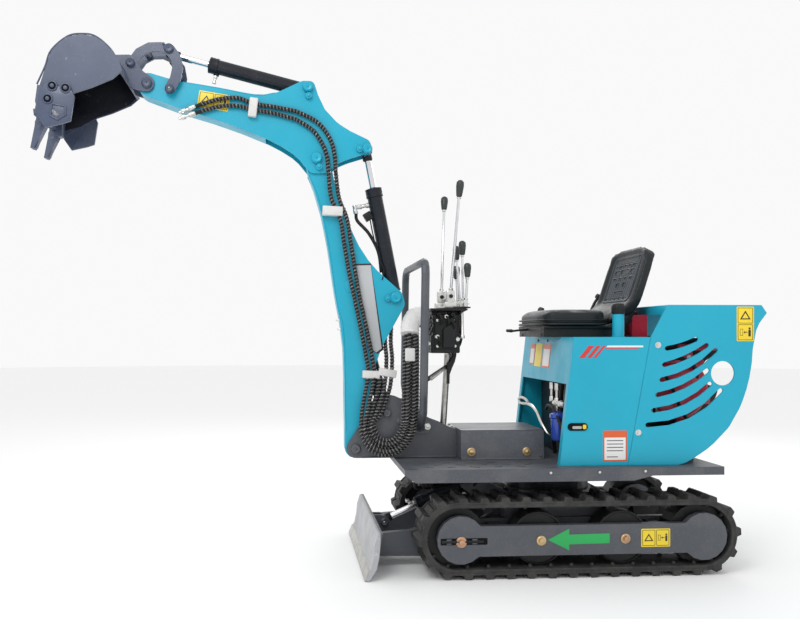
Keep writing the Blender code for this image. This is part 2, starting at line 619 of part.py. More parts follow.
finish(box(0.235, 0.500, -0.200, 0.200, BASE_Z, 0.800), "engine_block", "red")
TANK_Z = CONSOLE_TOP_Z + GAP
finish(box(0.286, 0.346, -0.140, 0.140, 0.800 + GAP, 0.925), "fuel_tank", "red")
neck = bar((0.193, -0.245, TANK_Z), (0.193, -0.245, 0.924), 0.0210, 20)
join(neck, bar((0.193, -0.245, 0.923), (0.193, -0.245, 0.965), 0.0225, 20))
finish(neck, "filler_neck", "turquoise")

# ---------------------------------------------------------------- seat
SEAT_Z = 0.884
finish(box(-0.064, 0.245, -0.170, 0.170, TANK_Z, SEAT_Z), "seat_base", "black")
cushion = prism(fillet([(-0.078, SEAT_Z + GAP, 0.01), (0.186, SEAT_Z + GAP, 0.01), (0.190, 0.935, 0.02),
                        (-0.040, 0.944, 0.02), (-0.076, 0.930, 0.02)]), -0.205, 0.205)
finish(cushion, "seat_cushion", "seat")
back = prism(fillet([(0.195, SEAT_Z + GAP, 0.005), (0.2445, SEAT_Z + GAP, 0.01), (0.306, 0.955, 0.03),
                     (0.366, 1.164, 0.015), (0.330, 1.186, 0.015), (0.262, 0.975, 0.1),
                     (0.205, 0.930, 0.02)]), -0.200, 0.200)
finish(back, "seat_backrest", "seat")

# ---------------------------------------------------------------- handrail, valve stand and levers
TAB_Y = BRACKET_HALF_Y + GAP
rail = pipe([(-0.513, -TAB_Y - 0.020, 0.500), (-0.522, -0.200, 0.560), (-0.530, -0.262, 0.640),
             (-0.523, -0.265, 1.114), (-0.523, 0.265, 1.114), (-0.530, 0.262, 0.640),
             (-0.522, 0.200, 0.560), (-0.513, TAB_Y + 0.020, 0.500)], 0.0150, 2, bend=0.045)
for y0, y1 in both(TAB_Y, TAB_Y + 0.010):
    join(rail, prism(fillet([(-0.548, 0.474, 0.02), (-0.548, 0.536, 0.01), (-0.500, 0.536, 0.02),
                             (-0.470, 0.515, 0.02), (-0.470, 0.474, 0.02)]), y0, y1))
    y = (y0 + y1) / 2
    join(rail, bar((-0.513, y, 0.500), (-0.513, y + math.copysign(0.020, y), 0.500), 0.0150, 16))
finish(rail, "handrail", "charcoal")

POST_FOOT_Z = 0.4863
stand = box(-0.430, -0.374, -0.045, 0.045, POST_FOOT_Z, POST_FOOT_Z + 0.008)
join(stand, bar((-0.413, 0, POST_FOOT_Z + 0.002), (-0.395, 0, 0.7778), 0.0125, 16),
     bar((-0.399, 0, 0.726), (-0.500, -0.2445, 0.690), 0.0065, 10))
finish(stand, "valve_stand", "silver")
VALVE = (-0.468, -0.362, 0.7788, 0.9400)
valve = box(VALVE[0], VALVE[1], -0.075, 0.075, VALVE[2], VALVE[3])
join(valve, box(-0.476, -0.318, -0.100, 0.100, VALVE[3] - 0.0005, 0.9500))
finish(valve, "valve_block", "black")
levers = box(-0.440, -0.372, -0.055, 0.055, 0.9503, 1.018)
join(levers, box(-0.372 - 0.010, -0.322, -0.095, 0.095, 0.9503, 0.975))
for foot, top, knob in (((-0.391, -0.040, 1.010), (-0.374, -0.120, 1.360), (-0.371, -0.131, 1.412)),
                        ((-0.412, 0.040, 1.010), (-0.388, 0.115, 1.345), (-0.384, 0.125, 1.396))):
    join(levers, bar(foot, top, 0.0055, 10),
         bar(Vector(top) - (Vector(knob) - Vector(top)) * 0.05, knob, 0.0125, 14))
for y, x, z in ((-0.080, -0.334, 1.105), (-0.030, -0.344, 1.190), (0.030, -0.355, 1.182), (0.080, -0.345, 1.110)):
    join(levers, bar((-0.340, y, 0.970), (x, y, z - 0.045), 0.0050, 10),
         bar((x, y, z - 0.047), (x, y, z), 0.0125, 14, 0.0105))
finish(levers, "control_levers", "silver")

# ---------------------------------------------------------------- boom
boom_side = fillet([(-0.798, 0.379, 0.037), (-0.718, 0.379, 0.037), (-0.700, 0.620, 0.20), (-0.672, 0.775, 0.20),
                    (-0.566, 0.965, 0.026), (-0.578, 1.010, 0.030), (-0.694, 1.112, 0.20), (-0.775, 1.235, 0.40),
                    (-0.838, 1.430, 0.20), (-0.864, 1.560, 0.043), (-0.950, 1.560, 0.043),
                    (-0.942, 1.470, 0.10), (-0.900, 1.360, 0.60), (-0.866, 1.200, 1.00), (-0.832, 0.970, 1.00),
                    (-0.806, 0.850, 0.60), (-0.798, 0.620, 1.00)], 3)
boom = prism(boom_side, -BOOM_HALF_Y, BOOM_HALF_Y)
inside = BOOM_HALF_Y - BOOM_WALL
cut(boom, prism([(-0.791, 0.470), (-0.640, 0.440), (-0.500, 0.900), (-0.520, 1.060), (-0.640, 1.120),
                 (-0.702, 1.112), (-0.783, 1.235), (-0.845, 1.430), (-0.866, 1.462), (-0.934, 1.462),
                 (-0.893, 1.360), (-0.858, 1.200), (-0.824, 0.970), (-0.799, 0.850), (-0.791, 0.620)],
                -inside, inside))
join(boom, shaft(BOOM_FOOT, [(0, BRACKET_IN_Y - SIDE_GAP, 0.034)], 16),
     shaft(ELBOW, [(0, ARM_IN_Y - SIDE_GAP, 0.034)], 16),
     shaft(ARM_BASE_PIN, [(0, EYE_HALF_Y + SIDE_GAP, 0.0100), (EYE_HALF_Y + SIDE_GAP, inside + 0.002, 0.019),
                          (inside + 0.002, BOOM_HALF_Y + 0.008, 0.016), (BOOM_HALF_Y + 0.008, BOOM_HALF_Y + 0.010, 0.010)]),
     *stubs(BOOM_ROD_PIN, [(EYE_HALF_Y + SIDE_GAP, inside + 0.002, 0.020)]))
cut(boom, pin(BOOM_FOOT, -0.08, 0.08, 0.0150 + PIN_GAP), pin(ELBOW, -0.08, 0.08, 0.0150 + PIN_GAP))
finish(boom, "boom", "turquoise", at(BOOM_FOOT))
cylinder("boom_cylinder", BOOM_BASE_PIN, BOOM_ROD_PIN, BOOM_CYL, eye_r=0.022, pin_r=0.0120)

# ---------------------------------------------------------------- arm
arm_side = fillet([(-1.582, 1.757, 0.034), (-1.556, 1.836, 0.030), (-1.416, 1.797, 0.3), (-1.275, 1.777, 0.5),
                   (-1.133, 1.752, 0.3), (-1.064, 1.762, 0.1), (-0.962, 1.812, 0.024), (-0.918, 1.812, 0.02),
                   (-0.892, 1.730, 0.2), (-0.857, 1.679, 0.2), (-0.799, 1.634, 0.2), (-0.704, 1.590, 0.024),
                   (-0.692, 1.548, 0.022), (-0.787, 1.518, 0.2), (-0.828, 1.500, 0.05), (-0.868, 1.462, 0.04),
                   (-0.930, 1.462, 0.03), (-0.984, 1.527, 0.1), (-1.064, 1.577, 0.3), (-1.190, 1.627, 0.5),
                   (-1.303, 1.665, 0.5), (-1.416, 1.697, 0.4)], 3)
arm = prism(arm_side, -ARM_HALF_Y, ARM_HALF_Y)
cut(arm, prism([(-1.400, 1.706), (-1.400, 1.784), (-1.275, 1.768), (-1.133, 1.743), (-1.062, 1.752),
                (-1.030, 1.830), (-0.880, 1.850), (-0.897, 1.726), (-0.862, 1.672), (-0.803, 1.626),
                (-0.760, 1.605), (-0.650, 1.640), (-0.650, 1.500), (-0.787, 1.440), (-0.990, 1.400),
                (-1.100, 1.560), (-1.100, 1.600), (-1.190, 1.636), (-1.303, 1.674)],
               -ARM_IN_Y, ARM_IN_Y))
join(arm, shaft(ELBOW, [(0, ARM_IN_Y + 0.002, 0.0150), (ARM_IN_Y + 0.002, ARM_HALF_Y + 0.009, 0.020)]),
     shaft(BUCKET_BASE_PIN, [(0, EYE_HALF_Y + SIDE_GAP, 0.0100), (EYE_HALF_Y + SIDE_GAP, ARM_IN_Y + 0.002, 0.019),
                             (ARM_IN_Y + 0.002, ARM_HALF_Y + 0.009, 0.016)]),
     shaft(ROCKER_FOOT, [(0, ARM_HALF_Y - 0.002, 0.0100), (ARM_HALF_Y - 0.002, ROCKER_IN_Y - SIDE_GAP, 0.018),
                         (ROCKER_IN_Y - SIDE_GAP, ROCKER_OUT_Y + 0.006, 0.0100)]),
     *stubs(ARM_ROD_PIN, [(EYE_HALF_Y + SIDE_GAP, ARM_IN_Y + 0.002, 0.019),
                          (ARM_IN_Y + 0.002, ARM_HALF_Y + 0.009, 0.016)]))
cut(arm, pin(BUCKET_PIVOT, -0.08, 0.08, 0.0120 + PIN_GAP))
finish(arm, "arm", "turquoise", at(ELBOW))
cylinder("arm_cylinder", ARM_BASE_PIN, ARM_ROD_PIN, ARM_CYL, eye_r=0.022)
cylinder("bucket_cylinder", BUCKET_BASE_PIN, ROCKER_TOP, BUCKET_CYL, eye_r=0.020)

# ---------------------------------------------------------------- rocker, link and bucket
rocker_path = [ROCKER_FOOT, (-1.434, 1.800), (-1.425, 1.842), (-1.432, 1.882), ROCKER_TOP]
rocker = None
for y0, y1 in both(ROCKER_IN_Y, ROCKER_OUT_Y):
    plate = prism(band(rocker_path, 0.020), y0, y1)
    cut(plate, pin(ROCKER_FOOT, y0 - 0.01, y1 + 0.01, 0.0100 + PIN_GAP))
    rocker = join(rocker, plate) if rocker else plate
    if y0 < 0:
        join(rocker, pin((-1.4265, 1.842), -ROCKER_IN_Y - 0.002, ROCKER_IN_Y + 0.002, 0.0075, 12))
join(rocker, *stubs(ROCKER_TOP, [(EYE_HALF_Y + 0.022, ROCKER_OUT_Y + 0.006, 0.0100)]))
finish(rocker, "rocker", "steel_gray", at(ROCKER_FOOT))

LINK_OUT_Y = BUCKET_EAR_IN_Y - SIDE_GAP
LINK_IN_Y = LINK_OUT_Y - 0.012
link_path = [ROCKER_TOP, (-1.492, 1.928), (-1.532, 1.926), (-1.570, 1.905), LINK_END]
link = None
for y0, y1 in both(LINK_IN_Y, LINK_OUT_Y):
    plate = prism(band(link_path, 0.0175), y0, y1)
    link = join(link, plate) if link else plate
    if y0 < 0:
        join(link, box(-1.556, -1.534, -LINK_IN_Y - 0.002, LINK_IN_Y + 0.002, 1.910, 1.924))
join(link, *stubs(ROCKER_TOP, [(LINK_OUT_Y - 0.002, ROCKER_IN_Y - SIDE_GAP, 0.0160)]))
cut(link, *stubs(ROCKER_TOP, [(EYE_HALF_Y + SIDE_GAP, ROCKER_IN_Y + 0.01, 0.0100 + PIN_GAP)]))
finish(link, "bucket_link", "steel_gray", at(ROCKER_TOP))

bucket_side = [(-1.914, 1.631), (-1.906, 1.680), (-1.898, 1.727), (-1.874, 1.800), (-1.854, 1.859),
               (-1.830, 1.887), (-1.799, 1.910), (-1.750, 1.921), (-1.701, 1.913), (-1.670, 1.893),
               (-1.640, 1.862), (-1.618, 1.830), (-1.606, 1.794), (-1.640, 1.764), (-1.714, 1.731),
               (-1.772, 1.711), (-1.840, 1.672)]
bucket = prism(bucket_side, -BUCKET_HALF_Y, BUCKET_HALF_Y)
cut(bucket, prism([(-1.902, 1.610), (-1.896, 1.680), (-1.888, 1.725), (-1.865, 1.797), (-1.845, 1.855),
                   (-1.824, 1.879), (-1.795, 1.900), (-1.750, 1.911), (-1.705, 1.903), (-1.677, 1.886),
                   (-1.649, 1.856), (-1.628, 1.826), (-1.617, 1.794), (-1.600, 1.740), (-1.700, 1.650),
                   (-1.800, 1.600)],
                  -BUCKET_HALF_Y + BUCKET_WALL, BUCKET_HALF_Y - BUCKET_WALL))
ear = fillet([(-1.668, 1.890, 0), (-1.588, 1.893, 0.030), (-1.560, 1.835, 0.05), (-1.506, 1.800, 0.030),
              (-1.526, 1.750, 0.030), (-1.600, 1.770, 0.02), (-1.612, 1.800, 0), (-1.632, 1.845, 0)], 4)
for y0, y1 in both(BUCKET_EAR_IN_Y, BUCKET_EAR_OUT_Y):
    join(bucket, prism(ear, y0, y1))
join(bucket, shaft(BUCKET_PIVOT, [(0, BUCKET_EAR_OUT_Y - 0.002, 0.0120),
                                  (BUCKET_EAR_OUT_Y - 0.002, BUCKET_EAR_OUT_Y + 0.0008, 0.020)]),
     *stubs(LINK_END, [(BUCKET_EAR_OUT_Y - 0.003, BUCKET_EAR_OUT_Y + 0.005, 0.0155)], 14))
for side in (-1, 1):
    y0, y1 = side * (BUCKET_HALF_Y - 0.002), side * (BUCKET_HALF_Y + 0.010)
    join(bucket, prism([(-1.908, 1.676), (-1.900, 1.735), (-1.820, 1.700), (-1.835, 1.640), (-1.872, 1.592),
                        (-1.892, 1.612)], y0, y1))
for y in (-0.090, 0.090):
    tooth = prism([(-1.924, 1.668), (-1.884, 1.668), (-1.886, 1.632), (-1.938, 1.527), (-1.950, 1.530),
                   (-1.930, 1.632)], y - 0.019, y + 0.019)
    join(bucket, tooth)
finish(bucket, "bucket", "steel_gray", at(BUCKET_PIVOT))

# ---------------------------------------------------------------- hydraulic hoses clipped along the near side
HOSE_R = 0.0095
HOSE_Y = -ARM_HALF_Y - 0.0115           # the hoses lie beside the arm's near cheek
LOOP_Y = -BRACKET_HALF_Y - 0.020
# where the stretches of each hose meet, as (x, y, z) and the way the hose runs there
UPPER_ELBOW = ((-0.985, HOSE_Y, 1.694), (0.94, 0, -0.34))
LOWER_ELBOW = ((-0.985, HOSE_Y, 1.663), (0.90, 0, -0.44))
UPPER_BOOM = ((-0.834, HOSE_Y, 1.460), (0.02, 0, -1.0))
LOWER_BOOM = ((-0.862, HOSE_Y, 1.460), (0.00, 0, -1.0))
UPPER_LOOP = ((-0.704, HOSE_Y, 0.712), (0.06, 0, -1.0))
LOWER_LOOP = ((-0.732, HOSE_Y, 0.712), (0.06, 0, -1.0))


def hose(start, route, end):
    """One hose from a meeting place, or a point, along a route in X and Z, to the next one."""
    route = [(p[0], HOSE_Y, p[1]) if len(p) == 2 else p for p in route]
    head, tail = [], []
    if isinstance(start[0], tuple):
        along = Vector(start[1]).normalized()
        head = [Vector(start[0]) + along * GAP / 2]
        route.insert(0, tuple(Vector(start[0]) + along * 0.016))
    else:
        route.insert(0, start)
    if isinstance(end[0], tuple):
        along = Vector(end[1]).normalized()
        tail = [Vector(end[0]) - along * GAP / 2]
        route.append(tuple(Vector(end[0]) - along * 0.016))
    else:
        route.append(end)
    return pipe(head + smooth(route) + tail, HOSE_R, 1)


def clamp(centre, half_x, half_z, y0, y1):
    return box(centre[0] - half_x, centre[0] + half_x, min(y0, y1), max(y0, y1),
               centre[1] - half_z, centre[1] + half_z)


arm_hoses = join(hose((-1.395, HOSE_Y, 1.690), [(-1.340, 1.712), (-1.270, 1.734), (-1.202, 1.739),
                                                (-1.146, 1.720), (-1.064, 1.708)], UPPER_ELBOW),
                 hose((-1.395, HOSE_Y, 1.666), [(-1.340, 1.686), (-1.270, 1.706), (-1.202, 1.709),
                                                (-1.135, 1.694), (-1.064, 1.683)], LOWER_ELBOW),
                 clamp((-1.146, 1.708), 0.012, 0.034, -ARM_HALF_Y - GAP, HOSE_Y - 0.006),
                 clamp((-1.380, 1.684), 0.014, 0.028, -ARM_HALF_Y - GAP, HOSE_Y - 0.006))
finish(arm_hoses, "arm_hoses", "rubber")
elbow_hoses = join(hose(UPPER_ELBOW, [(-0.913, 1.660), (-0.868, 1.612), (-0.842, 1.550)], UPPER_BOOM),
                   hose(LOWER_ELBOW, [(-0.925, 1.626), (-0.892, 1.583), (-0.869, 1.530)], LOWER_BOOM),
                   clamp((-0.880, 1.598), 0.022, 0.008, HOSE_Y - 0.007, HOSE_Y + 0.007))
finish(elbow_hoses, "elbow_hoses", "rubber")
boom_hoses = join(hose(UPPER_BOOM, [(-0.832, 1.368), (-0.812, 1.281), (-0.790, 1.194), (-0.767, 1.080),
                                    (-0.744, 0.985), (-0.718, 0.850)], UPPER_LOOP),
                  hose(LOWER_BOOM, [(-0.860, 1.368), (-0.842, 1.281), (-0.820, 1.194), (-0.797, 1.080),
                                    (-0.776, 0.985), (-0.748, 0.850)], LOWER_LOOP),
                  clamp((-0.838, 1.325), 0.034, 0.014, -BOOM_HALF_Y - GAP, HOSE_Y - 0.006),
                  clamp((-0.722, 0.742), 0.034, 0.013, -BOOM_HALF_Y - GAP, HOSE_Y - 0.006))
finish(boom_hoses, "boom_hoses", "rubber")
hose_loop = join(hose(UPPER_LOOP, [(-0.722, LOOP_Y + 0.004, 0.600), (-0.723, LOOP_Y - 0.012, 0.500),
                                   (-0.697, LOOP_Y - 0.020, 0.448), (-0.648, LOOP_Y - 0.020, 0.420),
                                   (-0.600, LOOP_Y - 0.020, 0.426), (-0.570, LOOP_Y - 0.022, 0.465),
                                   (-0.582, LOOP_Y - 0.050, 0.560), (-0.574, LOOP_Y - 0.090, 0.690),
                                   (-0.566, LOOP_Y - 0.100, 0.800), (-0.556, LOOP_Y - 0.060, 0.880),
                                   (-0.520, LOOP_Y - 0.010, 0.895)], (-0.4765, -0.056, 0.880)),
                 hose(LOWER_LOOP, [(-0.745, LOOP_Y, 0.600), (-0.746, LOOP_Y - 0.004, 0.480),
                                   (-0.712, LOOP_Y - 0.006, 0.428), (-0.648, LOOP_Y - 0.006, 0.398),
                                   (-0.590, LOOP_Y - 0.010, 0.402), (-0.550, LOOP_Y - 0.034, 0.445),
                                   (-0.557, LOOP_Y - 0.075, 0.560), (-0.550, LOOP_Y - 0.112, 0.690),
                                   (-0.542, LOOP_Y - 0.112, 0.800), (-0.532, LOOP_Y - 0.070, 0.858),
                                   (-0.505, LOOP_Y - 0.010, 0.862)], (-0.4765, -0.034, 0.846)),
                 box(-0.580, -0.528, LOOP_Y - 0.122, LOOP_Y - 0.090, 0.770, 0.800))
finish(hose_loop, "hose_loop", "rubber")
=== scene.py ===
"""Looks of a mini excavator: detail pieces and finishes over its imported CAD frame."""
import json
import math

import bmesh
import bpy
from bpy.props import FloatProperty, FloatVectorProperty, IntProperty, PointerProperty
from mathutils import Matrix, Vector


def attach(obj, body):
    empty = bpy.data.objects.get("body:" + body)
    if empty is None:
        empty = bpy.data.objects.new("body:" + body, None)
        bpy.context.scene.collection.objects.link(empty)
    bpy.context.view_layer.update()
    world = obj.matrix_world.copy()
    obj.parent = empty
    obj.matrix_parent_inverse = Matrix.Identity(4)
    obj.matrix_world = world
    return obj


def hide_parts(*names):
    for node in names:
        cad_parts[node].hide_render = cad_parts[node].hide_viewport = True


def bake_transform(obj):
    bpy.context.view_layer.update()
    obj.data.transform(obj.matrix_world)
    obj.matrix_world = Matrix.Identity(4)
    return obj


bl_info = {
    "name": "Mini Excavator Looks",
    "version": (1, 0, 0),
    "blender": (4, 5, 0),
    "location": "View3D > Sidebar > Excavator",
    "description": "Builds the fittings, hoses, seat, tracks and finishes of a mini excavator",
    "category": "Object",
}

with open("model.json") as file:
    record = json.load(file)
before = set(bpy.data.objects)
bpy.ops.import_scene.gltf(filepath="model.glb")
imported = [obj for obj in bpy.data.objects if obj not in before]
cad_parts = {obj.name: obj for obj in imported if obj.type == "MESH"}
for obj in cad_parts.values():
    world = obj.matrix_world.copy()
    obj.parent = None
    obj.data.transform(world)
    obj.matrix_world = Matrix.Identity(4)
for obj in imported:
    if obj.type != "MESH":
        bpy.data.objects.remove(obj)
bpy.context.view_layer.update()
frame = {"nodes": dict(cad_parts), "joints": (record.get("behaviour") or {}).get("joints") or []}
AXIS_X = next(j["pos_m"][0] for j in frame["joints"] if j["name"] == "swing")
SIDES = (-1, 1)


# ---- sizes and colours
def colour(name, description, value):
    return FloatVectorProperty(name=name, description=description, subtype="COLOR", size=3, min=0, max=1,
        default=value)


def length(name, description, value):
    return FloatProperty(name=name, description=description, default=value, unit="LENGTH", precision=4)


class ExcavatorColours(bpy.types.PropertyGroup):
    body: colour("Body paint", "Boom, arm and engine cover", (0.004, 0.37, 0.53))
    chassis: colour("Chassis paint", "Deck, bracket and track frames", (0.066, 0.073, 0.088))
    digging: colour("Bucket paint", "Bucket, rocker and link", (0.054, 0.074, 0.132))
    blade: colour("Blade paint", "Dozer blade", (0.36, 0.37, 0.39))
    cylinder: colour("Cylinder paint", "Hydraulic barrels", (0.009, 0.012, 0.019))
    engine: colour("Engine red", "Engine shroud and fuel tank", (0.56, 0.02, 0.05))
    rubber: colour("Rubber", "Tracks", (0.022, 0.022, 0.022))
    label: colour("Label yellow", "Warning plates", (0.86, 0.64, 0.02))
    arrow: colour("Arrow green", "Travel arrow", (0.01, 0.4, 0.09))


class ExcavatorSizes(bpy.types.PropertyGroup):
    hose: length("Hose radius", "Radius of a hydraulic hose", 0.0072)
    wrap: length("Wrap pitch", "Rise of the spiral guard in one turn", 0.013)
    bolt: length("Bolt head", "Radius of a medium bolt head", 0.0095)
    round_off: length("Plate rounding", "Radius on the edges of added plates", 0.0016)
    lugs: IntProperty(name="Track lugs", description="Lugs around one track", default=34, min=20, max=60)
    lens: FloatProperty(name="Lens", description="Focal length of the camera", default=39.6, unit="CAMERA")


def colours():
    return bpy.context.scene.excavator_colours


def sizes():
    return bpy.context.scene.excavator_sizes


# ---- shapes
def at(x, y, z):
    """A point given from the slewing axis, in the row frame."""
    return Vector((x + AXIS_X, y, z))


def block(corner, opposite, edge=0.0015, segments=2):
    """A box between two opposite corners, with rounded edges."""
    bm = bmesh.new()
    bmesh.ops.create_cube(bm, size=1.0)
    low, high = at(*map(min, corner, opposite)), at(*map(max, corner, opposite))
    bmesh.ops.scale(bm, vec=high - low, verts=bm.verts)
    bmesh.ops.translate(bm, vec=(low + high) / 2, verts=bm.verts)
    return bevelled(bm, edge, segments)


def bevelled(bm, edge, segments=2, angle=25):
    if edge > 0:
        edges = [e for e in bm.edges if len(e.link_faces) == 2 and e.calc_face_angle() > math.radians(angle)]
        bmesh.ops.bevel(bm, geom=edges, offset=edge, offset_type="OFFSET", segments=segments, profile=0.5,
            affect="EDGES", clamp_overlap=True, material=-1)
    return bm


def facing(origin, axis):
    """A transform whose Z runs along the axis from the origin."""
    return Matrix.Translation(origin) @ Vector(axis).to_track_quat("Z", "Y").to_matrix().to_4x4()


def rod(start, end, radius, sides=20, end_radius=None, edge=0.001):
    start, end = Vector(start), Vector(end)
    bm = bmesh.new()
    bmesh.ops.create_cone(bm, cap_ends=True, segments=sides, radius1=radius,
        radius2=radius if end_radius is None else end_radius, depth=(end - start).length)
    if edge:
        rims = [e for e in bm.edges if e.calc_face_angle() > math.radians(50)]
        bmesh.ops.bevel(bm, geom=rims, offset=edge, offset_type="OFFSET", segments=2, profile=0.5,
            affect="EDGES", clamp_overlap=True, material=-1)
    bmesh.ops.transform(bm, matrix=facing((start + end) / 2, end - start), verts=bm.verts)
    return bm


def lathe(origin, axis, profile, steps=24):
    """Spin (distance along, radius) points about an axis: flat ends, or a ring where last equals first."""
    if profile[0] != profile[-1]:
        start = [(profile[0][0], 0)] if profile[0][1] else []
        end = [(profile[-1][0], 0)] if profile[-1][1] else []
        profile = start + profile + end
    bm = bmesh.new()
    points = [bm.verts.new((radius, 0, along)) for along, radius in profile]
    chain = [bm.edges.new(pair) for pair in zip(points, points[1:])]
    bmesh.ops.spin(bm, geom=points + chain, cent=(0, 0, 0), axis=(0, 0, 1), dvec=(0, 0, 0), angle=2 * math.pi,
        steps=steps, use_merge=True)
    bmesh.ops.remove_doubles(bm, verts=bm.verts, dist=0.00002)
    bmesh.ops.recalc_face_normals(bm, faces=bm.faces)
    bmesh.ops.transform(bm, matrix=facing(origin, axis), verts=bm.verts)
    return bm


def from_curve(curve, matrix=Matrix.Identity(4)):
    """The mesh of a curve, as a bmesh, with the curve used up."""
    obj = bpy.data.objects.new("outline", curve)
    bpy.context.scene.collection.objects.link(obj)
    bpy.context.view_layer.update()
    mesh = bpy.data.meshes.new_from_object(obj.evaluated_get(bpy.context.evaluated_depsgraph_get()))
    mesh.transform(matrix)
    bm = bmesh.new()
    bm.from_mesh(mesh)
    bmesh.ops.remove_doubles(bm, verts=bm.verts, dist=0.00001)
    bmesh.ops.recalc_face_normals(bm, faces=bm.faces)
    bpy.data.objects.remove(obj)
    bpy.data.curves.remove(curve)
    bpy.data.meshes.remove(mesh)
    return bm


def plate(outlines, y0, y1, edge=0.0015):
    """A plate between two Y planes from outlines in X and Z: the first its rim, the others its holes."""
    if isinstance(outlines[0][0], (int, float)):
        outlines = [outlines]
    curve = bpy.data.curves.new("outline", "CURVE")
    curve.dimensions = "2D"
    curve.fill_mode = "BOTH"
    edge = min(edge, abs(y1 - y0) * 0.45)
    curve.extrude = abs(y1 - y0) / 2 - edge
    curve.bevel_depth = edge
    curve.bevel_resolution = 1
    curve.offset = -edge
    for outline in outlines:
        spline = curve.splines.new("POLY")
        spline.points.add(len(outline) - 1)
        for point, (x, z) in zip(spline.points, outline):
            point.co = (x + AXIS_X, z, 0, 1)
        spline.use_cyclic_u = True
    return from_curve(curve, Matrix.Translation((0, (y0 + y1) / 2, 0)) @ Matrix.Rotation(math.pi / 2, 4, "X"))


def tube(points, radius, resolution=2, closed=False):
    curve = bpy.data.curves.new("tube", "CURVE")
    curve.dimensions = "3D"
    curve.bevel_depth = radius
    curve.bevel_resolution = resolution
    curve.use_fill_caps = not closed
    spline = curve.splines.new("POLY")
    spline.points.add(len(points) - 1)
    for point, co in zip(spline.points, points):
        point.co = (*co, 1)
    spline.use_cyclic_u = closed
    return from_curve(curve)


def smooth(points, steps=5):
    """Points along a smooth curve through the given ones."""
    pts = [Vector(p) for p in points]
    ends = [2 * pts[0] - pts[1]] + pts + [2 * pts[-1] - pts[-2]]
    path = []
    for p0, p1, p2, p3 in zip(ends, ends[1:], ends[2:], ends[3:]):
        for i in range(steps):
            t = i / steps
            path.append(0.5 * ((2 * p1) + (p2 - p0) * t + (2 * p0 - 5 * p1 + 4 * p2 - p3) * t * t
                + (3 * p1 - p0 - 3 * p2 + p3) * t ** 3))
    path.append(pts[-1])
    return path


def smooth_outline(points, steps=5):
    """A closed outline in X and Z, rounded through its points."""
    ring = points[-2:] + points + points[:3]
    path = smooth([(x, 0, z) for x, z in ring], steps)
    return [(p.x, p.z) for p in path[2 * steps:(2 + len(points)) * steps]]


def circle(centre, radius, sides=24):
    return [(centre[0] + radius * math.cos(2 * math.pi * i / sides),
        centre[1] + radius * math.sin(2 * math.pi * i / sides)) for i in range(sides)]


def oblong(x0, x1, z0, z1, radius, steps=4):
    """A rectangle with round corners, in X and Z."""
    outline = []
    for cx, cz, start in ((x1 - radius, z1 - radius, 0), (x0 + radius, z1 - radius, 90),
            (x0 + radius, z0 + radius, 180), (x1 - radius, z0 + radius, 270)):
        for i in range(steps + 1):
            a = math.radians(start + 90 * i / steps)
            outline.append((cx + radius * math.cos(a), cz + radius * math.sin(a)))
    return outline


def helix(path, radius, pitch, turns_points=9):
    """A spiral of the given pitch around a path."""
    along, total = [0.0], 0.0
    for a, b in zip(path, path[1:]):
        total += (b - a).length
        along.append(total)
    side = (path[1] - path[0]).orthogonal().normalized()
    frames = []
    for i, p in enumerate(path):
        way = (path[min(i + 1, len(path) - 1)] - path[max(i - 1, 0)]).normalized()
        side = (side - way * side.dot(way)).normalized()
        frames.append((p, side, way.cross(side)))
    points, step, k = [], pitch / turns_points, 0
    count = int(total / step)
    for i in range(count + 1):
        d = min(i * step, total * 0.99999)
        while along[k + 1] < d:
            k += 1
        t = (d - along[k]) / (along[k + 1] - along[k])
        p = frames[k][0].lerp(frames[k + 1][0], t)
        u = frames[k][1].lerp(frames[k + 1][1], t).normalized()
        v = frames[k][2].lerp(frames[k + 1][2], t).normalized()
        a = 2 * math.pi * d / pitch
        points.append(p + (u * math.cos(a) + v * math.sin(a)) * radius)
    return points


def add(target, part, index=0):
    """Put a part into a piece, on one of its materials."""
    for face in part.faces:
        face.material_index = index
    mesh = bpy.data.meshes.new("part")
    part.to_mesh(mesh)
    part.free()
    target.from_mesh(mesh)
    bpy.data.meshes.remove(mesh)
    return target


def turned(target, origin, axis, profile, steps=24, index=0):
    add(target, lathe(at(*origin), axis, profile, steps), index)


def bar(target, start, end, radius, sides=20, index=0, **settings):
    add(target, rod(at(*start), at(*end), radius, sides, **settings), index)


def slab(target, corner, opposite, edge=0.0015, index=0):
    add(target, block(corner, opposite, edge), index)


def sheet(target, outlines, y0, y1, edge, index=0):
    add(target, plate(outlines, y0, y1, edge), index)


def pipe(target, points, radius, index=0):
    """A bent pipe through points given from the slewing axis."""
    add(target, tube(smooth([at(*p) for p in points]), radius), index)


def weld(target, points, radius=0.0035):
    """A weld bead along points given from the slewing axis."""
    add(target, tube(smooth([at(*p) for p in points], 6), radius, 1))


def gather(*parts):
    """One bmesh from parts, all on the first material."""
    bm = bmesh.new()
    for part in parts:
        add(bm, part)
    return bm


def piece(name, bm, finishes, body, angle=38):
    """Make an object that rides on the CAD body named by body; given anything else, the object stays
    unparented with its transform baked. Its finishes are plain names with spaces between.
    """
    mesh = bpy.data.meshes.new(name)
    bm.to_mesh(mesh)
    bm.free()
    mesh.shade_smooth()
    mesh.set_sharp_from_angle(angle=math.radians(angle))
    for finish in finishes.split():
        mesh.materials.append(FINISH[finish])
    obj = bpy.data.objects.new(name, mesh)
    bpy.context.scene.collection.objects.link(obj)
    if isinstance(body, str):
        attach(obj, body)
    else:
        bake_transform(obj)
    return obj


